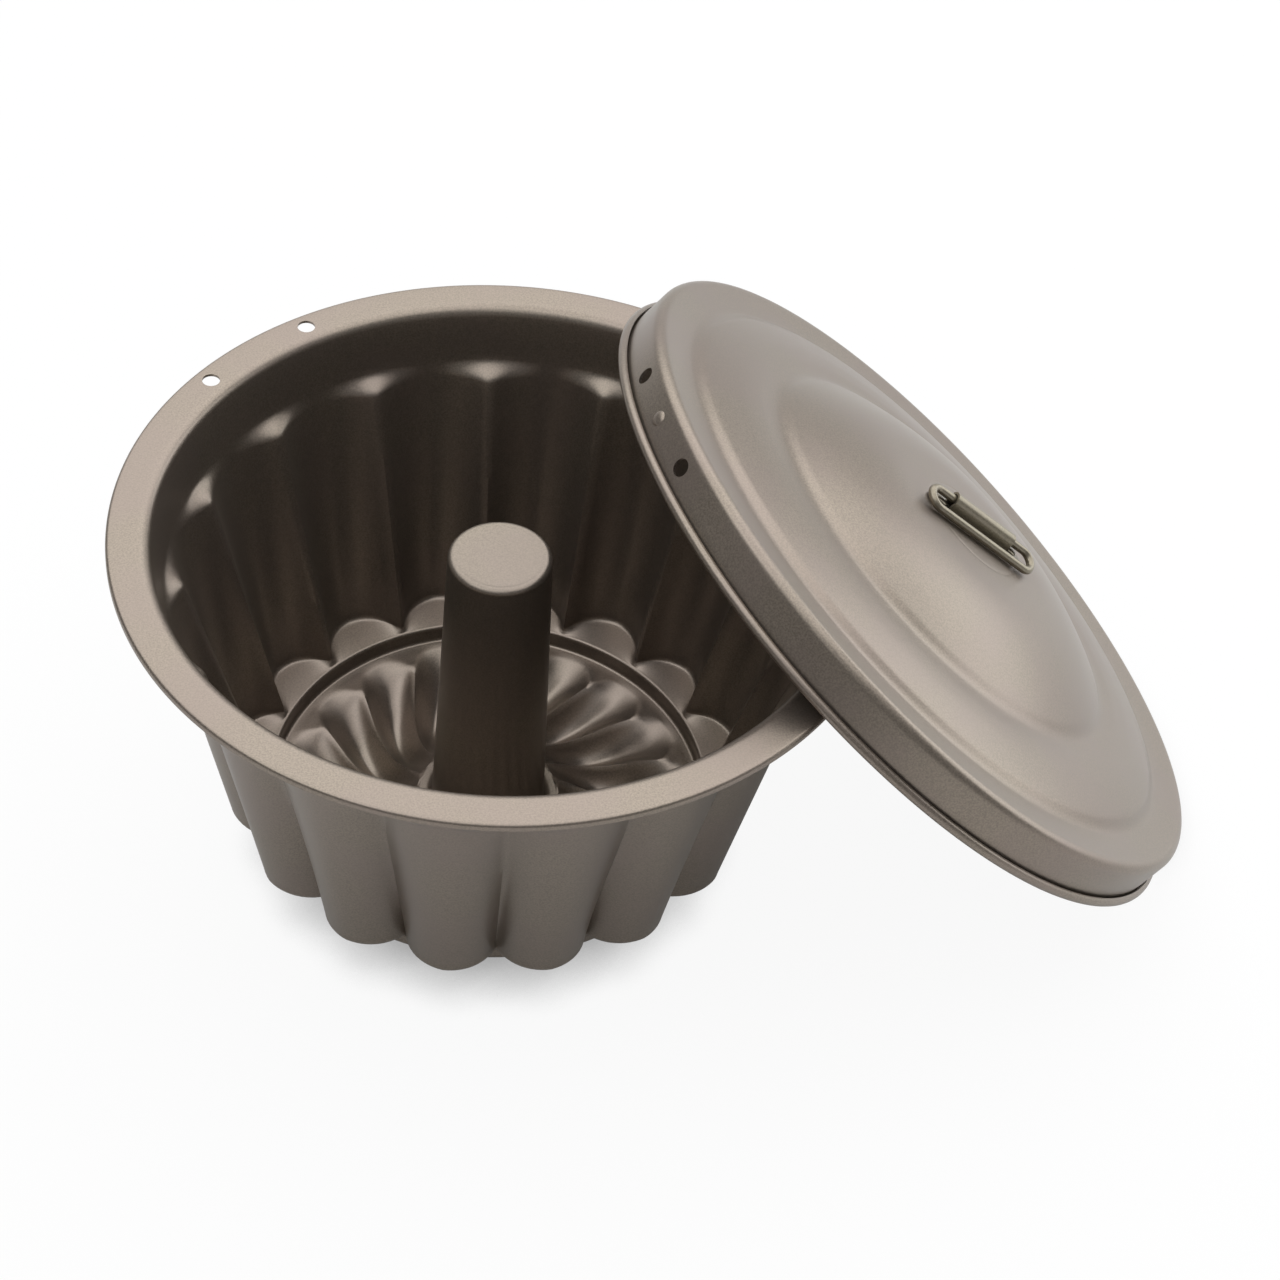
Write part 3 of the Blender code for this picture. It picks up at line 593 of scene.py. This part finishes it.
def floor_tables(s):
    """Height of the floor's ridges, and the sag of its petals, by radius from collar to ledge."""
    low = s.petal_depth + s.sheet
    collar, dip, reach = s.collar_radius, s.dip_radius, s.petal_reach
    ledge = s.step_radius - s.ledge_width
    rows = [
        (collar, s.collar_height, 0.0),
        (mix(collar, dip, 0.30), mix(s.collar_height, low, 0.40), 0.42),
        (mix(collar, dip, 0.65), mix(s.collar_height, low, 0.88), 0.82),
        (dip, low, 1.0),
        (mix(dip, reach, 0.35), mix(low, s.ledge_height, 0.25), 1.0),
        (mix(dip, reach, 0.70), mix(low, s.ledge_height, 0.70), 0.86),
        (reach, s.ledge_height, 0.60),
        (mix(reach, ledge, 0.50), s.ledge_height, 0.28),
        (ledge, s.ledge_height, 0.0),
    ]
    ridges = [(r, height) for r, height, sag in rows]
    return ridges, [(r, sag * s.petal_depth) for r, height, sag in rows]


def softened(value, edge):
    """A value from 0 up, its corner at 0 rounded."""
    return math.sqrt(value * value + edge * edge) - edge


def press_petal(s, sags, vert):
    """Press one point of the floor into the swirl of petals."""
    r = vert.co.xy.length
    azimuth = math.atan2(vert.co.y, vert.co.x)
    turn = azimuth * s.petals / (2.0 * math.pi)
    across = 2.0 * abs(turn - math.floor(turn) - 0.5)
    ledge = s.step_radius - s.ledge_width
    outward = min(1.0, max(0.0, (r - s.petal_reach) / (ledge - s.petal_reach)))
    width = 1.0 - (1.0 - s.petal_lip) * outward
    inside = softened(max(0.0, 1.0 - across / width), s.ridge_edge)
    vert.co.z -= through(r, sags) * inside * (2.0 - inside)
    inward = (s.petal_reach - r) / (s.petal_reach - s.collar_radius)
    azimuth += s.petal_twist * min(1.0, max(0.0, inward)) ** s.petal_curl + s.petal_angle
    vert.co.x = r * math.cos(azimuth)
    vert.co.y = r * math.sin(azimuth)


def rib_depth(s, z, r):
    """How far a rib stands into the bowl, at a height on the wall or a radius on the pads."""
    foot = s.pad_height + s.pad_rounding
    if z > foot:
        crest = s.rim_height - s.band - s.shoulder
        full = mix(s.rib_foot, s.rib_top, min(1.0, (z - foot) / (crest - foot)))
        return full * (1.0 - smooth((z - crest) / s.shoulder))
    start = s.step_radius + s.step_rounding
    return s.rib_foot * min(1.0, max(0.0, (r - start) / (s.flute_foot - start)))


def press_flute(s, vert):
    """Press one point of the wall into the flutes."""
    r = vert.co.xy.length
    azimuth = math.atan2(vert.co.y, vert.co.x)
    foot = s.pad_height + s.pad_rounding
    crest = s.rim_height - s.band - s.shoulder
    share = min(1.0, max(0.0, (vert.co.z - foot) / (crest - foot)))
    roundness = mix(s.foot_roundness, s.top_roundness, share)
    turn = (azimuth - s.rib_angle) * s.flutes / (2.0 * math.pi)
    beside = 1.0 - 2.0 * abs(turn - math.floor(turn) - 0.5)
    side = roundness * (1.0 - softened(beside, s.rib_edge))
    shape = (1.0 - math.sqrt(1.0 - side * side)) / (1.0 - math.sqrt(1.0 - roundness * roundness))
    r -= rib_depth(s, vert.co.z, r) * shape
    vert.co.x = r * math.cos(azimuth)
    vert.co.y = r * math.sin(azimuth)


def basin_profile(s):
    """The bowl's inner face, from the collar's hole out over floor, pads, wall and flange."""
    ridges = floor_tables(s)[0]
    ledge = s.step_radius - s.ledge_width
    points = [(r, s.collar_height) for r in spaced(s.collar_hole, s.collar_radius, mm(1.2))]
    points += [(r, through(r, ridges)) for r in spaced(s.collar_radius, ledge, mm(0.9))[1:]]
    corner = s.step_rounding
    points += arc((s.step_radius - corner, s.ledge_height + corner), corner, -90.0, 0.0, 4)
    points += arc((s.step_radius + corner, s.pad_height - corner), corner, 180.0, 90.0, 5)
    foot = s.pad_height + s.pad_rounding
    pad_start = s.step_radius + corner
    slope = math.tan(s.pad_tilt)
    fillet = (s.pad_rounding - slope * (s.flute_foot - pad_start)) / (
        math.cos(s.pad_tilt) - slope * (1.0 - math.sin(s.pad_tilt)))
    pad_end = s.flute_foot - fillet * (1.0 - math.sin(s.pad_tilt))
    pad = spaced(pad_start, pad_end, mm(0.8))[1:-1]
    points += [(r, s.pad_height + slope * (r - pad_start)) for r in pad]
    points += arc((s.flute_foot - fillet, foot), fillet, math.degrees(s.pad_tilt) - 90.0, 0.0, 7)
    band_foot = s.rim_height - s.band
    crest = band_foot - s.shoulder
    slope = (s.flute_top - s.flute_foot) / (band_foot - foot)
    heights = spaced(foot, crest, mm(2.6))[1:] + spaced(crest, band_foot, mm(0.45))[1:]
    points += [(s.flute_foot + slope * (z - foot), z) for z in heights]
    draft = 180.0 - math.degrees(s.mouth_draft)
    mouth = arc((s.mouth_radius, s.rim_height - s.mouth_rounding), s.mouth_rounding, draft, 90.0, 9)
    lean = math.tan(s.mouth_draft)
    points += band_curve(points[-1], mouth[0], slope, lean, 7)
    points += mouth
    flat = spaced(s.mouth_radius, s.flange_radius - s.fold, mm(1.8))
    points += [(r, s.rim_height) for r in flat[1:-1]]
    points += arc((s.flange_radius - s.fold, s.rim_height - s.fold), s.fold, 90.0, 0.0, 7)
    points.append((s.flange_radius, s.rim_height - s.lip))
    return points


def band_curve(low, high, slope, lean, steps):
    """Points of the plain band between two others, meeting the wall's slope and the mouth's lean."""
    rise = high[1] - low[1]
    points = []
    for i in range(1, steps):
        t = i / steps
        offset = (1.0 - t) * slope * rise * t * (1.0 - t) - t * lean * rise * t * (1.0 - t)
        points.append((mix(low[0], high[0], smooth(t)) + offset, mix(low[1], high[1], t)))
    return points


def clip_hole_angles(s):
    """Directions of the two holes of a pair."""
    return [s.hole_angle + side * s.hole_spread for side in (-0.5, 0.5)]


def build_basin(s, finish):
    """Press the basin from one turned face, give it its thickness and punch its holes."""
    bm = turned(basin_profile(s), TURN_STEPS)
    if max(bm.faces, key=lambda face: abs(face.normal.z)).normal.z < 0.0:
        bmesh.ops.reverse_faces(bm, faces=bm.faces)
    ledge = s.step_radius - s.ledge_width
    sags = floor_tables(s)[1]
    for vert in bm.verts:
        r = vert.co.xy.length
        if s.collar_radius < r < ledge:
            press_petal(s, sags, vert)
        elif r > s.step_radius and vert.co.z < s.rim_height - s.band:
            press_flute(s, vert)
    coat = coated_steel("non_stick_coat_on_pressed_steel", finish.basin_coat, finish)
    piece = new_piece("basin_shell", bm, coat)
    wall = piece.modifiers.new("sheet", "SOLIDIFY")
    wall.thickness = s.sheet
    wall.offset = -1.0
    punches = []
    for azimuth in clip_hole_angles(s):
        east, north = s.hole_ring * math.cos(azimuth), s.hole_ring * math.sin(azimuth)
        place = Matrix.Translation((east, north, s.rim_height))
        punches.append(cylinder(s.hole_radius, 6.0 * s.sheet, place))
    settle(piece, punches)
    seat(piece, basin_place(), "basin", "basin")


def build_tube(s, basin, finish):
    """Draw the tube with its closed top, the shallow disc pressed in it, and its foot."""
    top = TUBE_HIGH.z
    floor = TUBE_LOW.z
    disc = s.top_radius - s.recess_margin
    soft = mm(0.5)
    outer = [(r, top - s.recess) for r in spaced(0.0, disc - soft, mm(2.0))]
    outer += [
        (disc - soft + 2.0 * soft * t, top - s.recess * (1.0 - smooth(t)))
        for t in (0.25, 0.5, 0.75, 1.0)
    ]
    outer += arc((s.top_radius - s.rounding, top - s.rounding), s.rounding, 90.0, 0.0, 8)
    fillet = s.foot - 2.0 * basin.sheet
    outer += [
        (s.top_radius + (s.base_radius - s.top_radius) * t,
         (top - s.rounding) * (1.0 - t) + (floor + basin.sheet + fillet) * t)
        for t in (0.25, 0.5, 0.75)
    ]
    outer += arc((s.base_radius + fillet, floor + basin.sheet + fillet), fillet, 180.0, 270.0, 8)
    outer.append((s.base_radius + s.foot, floor + basin.sheet))
    bm = turned(section(outer, basin.sheet), TUBE_STEPS)
    coat = coated_steel("non_stick_coat_on_drawn_tube", finish.tube_coat, finish)
    piece = new_piece("tube_shell", bm, coat)
    settle(piece)
    seat(piece, basin_place(), "basin", "centre_tube")


def lid_face(s):
    """The lid's upper face, from the crown down over its two steps and the outer ring to the skirt."""
    ring = s.edge_height - s.ring_drop
    middle = ring + s.middle_rise
    dome_foot = middle + s.middle_crown
    dome_edge = dome_foot + s.dome_rise
    fall = s.dome_height - dome_edge
    table = [
        (0.0, s.dome_height), (0.6 * s.crown_flat, s.dome_height),
        (s.crown_flat, s.dome_height - 0.01 * fall),
    ]
    for share in (0.25, 0.5, 0.75):
        r = s.crown_flat + share * (s.dome_radius - s.dome_rise - s.crown_flat)
        table.append((r, s.dome_height - fall * share * share))
    steps = ((s.dome_radius, dome_foot, s.dome_rise), (s.middle_radius, ring, s.middle_rise))
    for radius, foot, rise in steps:
        table += [
            (radius - 0.6 * rise, foot + 0.90 * rise),
            (radius + 0.3 * rise, foot + 0.35 * rise),
            (radius + 1.3 * rise, foot),
        ]
        if radius == s.dome_radius:
            start = radius + 1.3 * rise
            end = s.middle_radius - 0.9 * s.middle_rise
            for share in (0.3, 0.6):
                table.append((start + share * (end - start), foot - s.middle_crown * share * share))
    reach = s.skirt_radius - s.edge_rounding
    table.append((reach, s.edge_height))
    pressed = ((-0.5, 0.0), (-0.2, 0.05), (0.2, 0.05), (0.5, 0.0))
    groove = [(s.ring_mark + mm(x), -mm(depth)) for x, depth in pressed]
    rows = [(r, 0.0) for r in spaced(0.0, reach, mm(0.8)) if abs(r - s.ring_mark) > mm(0.7)]
    return [(r, through(r, table) + sink) for r, sink in sorted(rows + groove)]


def build_lid(s, handle, finish):
    """Press the lid, curl its edge, and punch the holes in its skirt."""
    outer = lid_face(s)
    corner = (s.skirt_radius - s.edge_rounding, s.edge_height - s.edge_rounding)
    outer += arc(corner, s.edge_rounding, 90.0, 0.0, 8)[1:]
    outer += [(s.skirt_radius, z) for z in spaced(corner[1], 0.0, mm(1.2))[1:]]
    curl = mm(0.5)
    centre = (s.skirt_radius + 0.45 * s.bead_radius, -0.9 * s.bead_radius)
    closed = section(outer, s.sheet)
    inner = closed[len(outer):]
    loop = outer[:-1]
    inside = arc(centre, s.bead_radius - curl, 160.0, 450.0, 16)
    outside = arc(centre, s.bead_radius, 450.0, 185.0, 18)
    loop += inside + outside + [point for point in inner if point[1] > 0.0]
    bm = turned(loop, LID_STEPS)
    coat = coated_steel("non_stick_coat_on_pressed_lid", finish.lid_coat, finish)
    piece = new_piece("lid_shell", bm, coat)
    punches = []
    for azimuth in clip_hole_angles(s):
        place = Matrix.Rotation(azimuth, 4, "Z")
        place = place @ Matrix.Translation((s.skirt_radius, 0.0, s.hole_height))
        place = place @ Matrix.Rotation(math.pi / 2.0, 4, "Y")
        punches.append(cylinder(s.hole_radius, 6.0 * s.sheet, place))
    settle(piece, punches, joined=pressed_pip(s))
    seat(piece, lid_place(s, handle), "lid", "lid")


def pressed_pip(s):
    """The low round pip between the skirt's two holes."""
    bm = bmesh.new()
    bmesh.ops.create_uvsphere(bm, u_segments=32, v_segments=17, radius=s.pip_radius)
    bmesh.ops.scale(bm, verts=bm.verts, vec=((s.pip_proud + 0.5 * s.sheet) / s.pip_radius, 1.0, 1.0))
    place = Matrix.Rotation(s.hole_angle, 4, "Z")
    place = place @ Matrix.Translation((s.skirt_radius - 0.5 * s.sheet, 0.0, s.hole_height))
    bmesh.ops.transform(bm, matrix=place, verts=bm.verts)
    return plain_object("pip", bm)


def build_clip(s, finish):
    """Bend the clip: a flat strip with round ends and a barrel pressed up along its middle."""
    inner = s.wire_radius + s.fit
    outer = inner + s.clip_sheet
    half_width = outer + s.clip_foot
    base = s.fit - hinge_height(s)
    end = s.clip_barrel + s.clip_ear - half_width
    bm = bmesh.new()
    rim = bmesh.ops.create_circle(bm, cap_ends=True, segments=48, radius=half_width)["verts"]
    for vert in rim:
        vert.co.x += math.copysign(end, vert.co.x) if abs(vert.co.x) > MERGE else end
        vert.co.z = base
    drawn_out(bm, list(bm.faces), (0.0, 0.0, s.clip_sheet))
    coat = coated_steel("coat_on_bent_steel_clip", finish.wire_coat, finish)
    piece = new_piece("clip_strip", bm, coat)
    bevel = piece.modifiers.new("edge", "BEVEL")
    bevel.width = mm(0.15)
    bevel.segments = 2
    bevel.limit_method = "ANGLE"
    settle(piece)
    seat(piece, hinge_place(), "lid", "handle_clip")

    bm = bmesh.new()
    lower = base + 0.5 * s.clip_sheet
    half = arc((0.0, 0.0), outer, 0.0, 180.0, 24) + [(-outer, lower), (-inner, lower)]
    half += arc((0.0, 0.0), inner, 180.0, 0.0, 24) + [(inner, lower), (outer, lower)]
    verts = [bm.verts.new((-s.clip_barrel, y, z)) for y, z in half]
    face = bm.faces.new(verts)
    drawn_out(bm, [face], (2.0 * s.clip_barrel, 0.0, 0.0))
    barrel = new_piece("clip_barrel", bm, coat)
    settle(barrel)
    seat(barrel, hinge_place(), "lid", "handle_clip")


def build_rivets(s, sheet, finish):
    """Turn the two rivets that hold the clip."""
    coat = coated_steel("coat_on_steel_rivets", finish.wire_coat, finish, shine=0.05)
    crown = -hinge_height(s)
    head_foot = crown + s.fit + s.clip_sheet + s.fit
    tail_top = crown - sheet - s.fit
    head = [(s.rivet_head * math.sin(a), s.rivet_rise * (0.25 + 0.75 * math.cos(a)))
            for a in (math.radians(10.0 * i) for i in range(10))]
    head.append((s.rivet_head, 0.0))
    profile = [(r, head_foot + rise) for r, rise in head] + [(s.rivet_radius, head_foot)]
    profile += [(s.rivet_radius, tail_top)] + [(r, tail_top - rise) for r, rise in head[::-1]]
    for name, side in (("upper", 1.0), ("lower", -1.0)):
        bm = turned(profile, 32)
        bmesh.ops.translate(bm, verts=bm.verts, vec=(side * (s.clip_barrel + s.rivet_inset), 0.0, 0.0))
        piece = new_piece("rivet_" + name, bm, coat)
        settle(piece)
        seat(piece, hinge_place(), "lid", "handle_rivet_" + name)


def wire_path(s):
    """Centre line of the wire: out of the clip, round the grip and back into the clip."""
    turn = 0.5 * s.reach
    half = [(mm(1.0), 0.0), (0.4 * s.half_length, 0.0)]
    half += arc((s.half_length - turn, turn), turn, -90.0, 90.0, 20)
    return half + [(-x, y) for x, y in half[::-1]]


def build_wire(s, finish):
    """Bend the wire handle by drawing a circle along its path."""
    path = [Vector((x, y, 0.0)) for x, y in wire_path(s)]
    bm = bmesh.new()
    start = Matrix.Translation(path[0]) @ Matrix.Rotation(math.pi / 2.0, 4, "Y")
    bmesh.ops.create_circle(bm, cap_ends=False, segments=20, radius=s.wire_radius, matrix=start)
    ring = list(bm.edges)
    heading = Vector((1.0, 0.0, 0.0))
    first = list(bm.edges)
    for i in range(1, len(path)):
        grown = bmesh.ops.extrude_edge_only(bm, edges=ring)["geom"]
        verts = [item for item in grown if isinstance(item, bmesh.types.BMVert)]
        ring = [item for item in grown if isinstance(item, bmesh.types.BMEdge)
                and all(v in verts for v in item.verts)]
        bmesh.ops.translate(bm, verts=verts, vec=path[i] - path[i - 1])
        after = path[min(i + 1, len(path) - 1)]
        next_heading = (after - path[i - 1]).normalized()
        turn = heading.rotation_difference(next_heading).to_matrix()
        bmesh.ops.rotate(bm, verts=verts, cent=path[i], matrix=turn)
        heading = next_heading
    bmesh.ops.holes_fill(bm, edges=first + ring)
    bmesh.ops.recalc_face_normals(bm, faces=bm.faces)
    bmesh.ops.rotate(bm, verts=bm.verts, cent=(0, 0, 0), matrix=Matrix.Rotation(s.lift, 3, "X"))
    coat = coated_steel("coat_on_bent_wire", finish.wire_coat, finish, shine=0.04)
    piece = new_piece("wire_handle", bm, coat)
    settle(piece)
    seat(piece, hinge_place(), "handle", "handle_bail")


def seen_directly(tree, path):
    """1 for what the camera sees, also through glass."""
    return add_node(tree, "ShaderNodeMath", {
        0: path.outputs["Is Camera Ray"], 1: path.outputs["Is Transmission Ray"]},
        operation="MAXIMUM").outputs["Value"]


def tone_along(tree, place, back, near, far):
    """Go from the near tone to the far one along a direction."""
    depth = add_node(tree, "ShaderNodeVectorMath", {0: place, 1: back}, operation="DOT_PRODUCT")
    return add_node(tree, "ShaderNodeMapRange", {
        "Value": depth.outputs["Value"], "From Min": FAR_START, "From Max": FAR_END, "To Min": near,
        "To Max": far}, interpolation_type="SMOOTHSTEP").outputs["Result"]


def white_paper(s, back):
    """Seamless matt paper: white to the camera and in reflections, with the object's soft shadow."""
    made, tree, shader = material_tree("matt_seamless_paper")
    shader.inputs["Base Color"].default_value = (*s.floor, 1.0)
    shader.inputs["Roughness"].default_value = 0.9
    shader.inputs["Specular IOR Level"].default_value = 0.1
    near = add_node(tree, "ShaderNodeAmbientOcclusion", {"Distance": s.shadow_reach}, samples=12)
    tone = add_node(tree, "ShaderNodeMapRange", {
        "Value": near.outputs["AO"], "From Min": 0.15, "From Max": 0.85, "To Min": s.shadow_tone,
        "To Max": 1.0}, interpolation_type="SMOOTHSTEP")
    glow = add_node(tree, "ShaderNodeEmission", {"Color": WHITE, "Strength": tone.outputs["Result"]})
    path = add_node(tree, "ShaderNodeLightPath")
    seen = add_node(tree, "ShaderNodeMath", {
        0: seen_directly(tree, path), 1: PAPER_SHOWN}, operation="MULTIPLY")
    place = add_node(tree, "ShaderNodeTexCoord").outputs["Object"]
    gloss = tone_along(tree, place, back, s.floor_gloss, s.floor_gloss_behind)
    share = add_node(tree, "ShaderNodeMath", {
        0: path.outputs["Is Glossy Ray"], 1: gloss, 2: seen.outputs["Value"]},
        operation="MULTIPLY_ADD")
    mixed = add_node(tree, "ShaderNodeMixShader", {
        0: share.outputs["Value"], 1: shader.outputs["BSDF"], 2: glow.outputs["Emission"]})
    tree.links.new(mixed.outputs["Shader"], tree.nodes["Material Output"].inputs["Surface"])
    return made


def studio_world(s, back):
    """White behind the object, as the camera sees it and metal reflects it, and dim over the camera."""
    world = bpy.data.worlds.new("studio")
    world.use_nodes = True
    tree = world.node_tree
    seen = seen_directly(tree, add_node(tree, "ShaderNodeLightPath"))
    way = add_node(tree, "ShaderNodeTexCoord").outputs["Generated"]
    behind = tone_along(tree, way, back, s.ambient, s.backdrop)
    strength = add_node(tree, "ShaderNodeMath", {0: seen, 1: behind}, operation="MAXIMUM")
    tree.links.new(strength.outputs["Value"], tree.nodes["Background"].inputs["Strength"])
    tree.nodes["Background"].inputs["Color"].default_value = WHITE
    bpy.context.scene.world = world


def soft_light(name, place, aim, size, brightness, colour):
    """An area light whose face has the given brightness, white being 1."""
    lamp = bpy.data.lights.new(name, "AREA")
    lamp.shape = "RECTANGLE"
    lamp.size, lamp.size_y = size
    lamp.energy = brightness * math.pi * size[0] * size[1]
    lamp.color = colour
    holder = bpy.data.objects.new(name, lamp)
    bpy.context.scene.collection.objects.link(holder)
    holder.location = place
    holder.rotation_euler = (Vector(aim) - Vector(place)).to_track_quat("-Z", "Y").to_euler()


def build_stage(s):
    """Lay the floor, hang the lights and set the camera at the photograph's angle."""
    bm = bmesh.new()
    bmesh.ops.create_grid(bm, x_segments=1, y_segments=1, size=PAPER_SIZE)
    back = Vector((math.sin(VIEW_HEADING), math.cos(VIEW_HEADING), 0.0))
    right = Vector((math.cos(VIEW_HEADING), -math.sin(VIEW_HEADING), 0.0))
    behind = (back + 0.4 * right).normalized()
    floor = new_piece("floor", bm, white_paper(s, behind))
    studio_world(s, behind)
    aim = Vector((0.0, 0.0, 0.05))
    above = back * 0.45 + Vector((0.0, 0.0, 1.3))
    soft_light("softbox", above, aim, (2.4, 2.4), s.softbox, (0.98, 0.99, 1.0))
    beside = right * 1.5 + back * 0.7 + Vector((0.0, 0.0, 0.45))
    soft_light("side_panel", beside, aim, (1.6, 0.9), s.panel, (0.93, 0.97, 1.0))
    before = -back * 0.7 - right * 0.5 + Vector((0.0, 0.0, 1.5))
    soft_light("front_fill", before, aim, (1.8, 0.9), s.fill, (0.95, 0.98, 1.0))

    lens = bpy.data.cameras.new("camera")
    lens.lens = s.lens
    lens.sensor_width = SENSOR_WIDTH
    camera = bpy.data.objects.new("camera", lens)
    bpy.context.scene.collection.objects.link(camera)
    turn = Matrix.Rotation(-VIEW_HEADING, 4, "Z") @ Matrix.Rotation(math.pi / 2.0 - VIEW_PITCH, 4, "X")
    place = Matrix.Translation(BASIN_CENTRE + VIEW_FROM)
    camera.matrix_world = place @ turn @ Matrix.Rotation(VIEW_ROLL, 4, "Z")
    bpy.context.scene.camera = camera
    bpy.context.scene.view_settings.view_transform = "Standard"


class MOULD_OT_basin(bpy.types.Operator):
    """Build the fluted basin"""
    bl_idname = "mould.basin"
    bl_label = "Basin"

    def execute(self, context):
        build_basin(context.scene.mould_basin, context.scene.mould_finish)
        return {"FINISHED"}


class MOULD_OT_tube(bpy.types.Operator):
    """Build the centre tube"""
    bl_idname = "mould.tube"
    bl_label = "Centre tube"

    def execute(self, context):
        build_tube(context.scene.mould_tube, context.scene.mould_basin, context.scene.mould_finish)
        return {"FINISHED"}


class MOULD_OT_lid(bpy.types.Operator):
    """Build the lid"""
    bl_idname = "mould.lid"
    bl_label = "Lid"

    def execute(self, context):
        build_lid(context.scene.mould_lid, context.scene.mould_handle, context.scene.mould_finish)
        return {"FINISHED"}


class MOULD_OT_clip(bpy.types.Operator):
    """Build the handle's clip and its two rivets"""
    bl_idname = "mould.clip"
    bl_label = "Clip and rivets"

    def execute(self, context):
        scene = context.scene
        build_clip(scene.mould_handle, scene.mould_finish)
        build_rivets(scene.mould_handle, scene.mould_lid.sheet, scene.mould_finish)
        return {"FINISHED"}


class MOULD_OT_wire(bpy.types.Operator):
    """Build the wire handle"""
    bl_idname = "mould.wire"
    bl_label = "Wire handle"

    def execute(self, context):
        build_wire(context.scene.mould_handle, context.scene.mould_finish)
        return {"FINISHED"}


class MOULD_OT_stage(bpy.types.Operator):
    """Lay the floor, hang the lights and set the camera"""
    bl_idname = "mould.stage"
    bl_label = "Stage"

    def execute(self, context):
        build_stage(context.scene.mould_stage)
        return {"FINISHED"}


class MOULD_PT_panel(bpy.types.Panel):
    """Lists the pieces and their settings"""
    bl_idname = "MOULD_PT_panel"
    bl_label = "Steamed pudding mould"
    bl_space_type = "VIEW_3D"
    bl_region_type = "UI"
    bl_category = "Mould"

    def draw(self, context):
        for operator in OPERATORS:
            self.layout.operator(operator.bl_idname)
        for name, group in SETTINGS.items():
            settings = getattr(context.scene, name)
            box = self.layout.box()
            for key in group.__annotations__:
                box.prop(settings, key)


OPERATORS = (MOULD_OT_basin, MOULD_OT_tube, MOULD_OT_lid, MOULD_OT_clip, MOULD_OT_wire, MOULD_OT_stage)
SETTINGS = {
    "mould_basin": BasinSettings,
    "mould_tube": TubeSettings,
    "mould_lid": LidSettings,
    "mould_handle": HandleSettings,
    "mould_finish": FinishSettings,
    "mould_stage": StageSettings,
}


def register():
    for group in (*SETTINGS.values(), *OPERATORS, MOULD_PT_panel):
        bpy.utils.register_class(group)
    for name, group in SETTINGS.items():
        setattr(bpy.types.Scene, name, PointerProperty(type=group))


def unregister():
    for name in SETTINGS:
        delattr(bpy.types.Scene, name)
    for group in (MOULD_PT_panel, *OPERATORS, *SETTINGS.values()):
        bpy.utils.unregister_class(group)


def main():
    register()
    bpy.ops.mould.basin()
    bpy.ops.mould.tube()
    bpy.ops.mould.lid()
    bpy.ops.mould.clip()
    bpy.ops.mould.wire()
    bpy.ops.mould.stage()


if __name__ == "__main__":
    main()
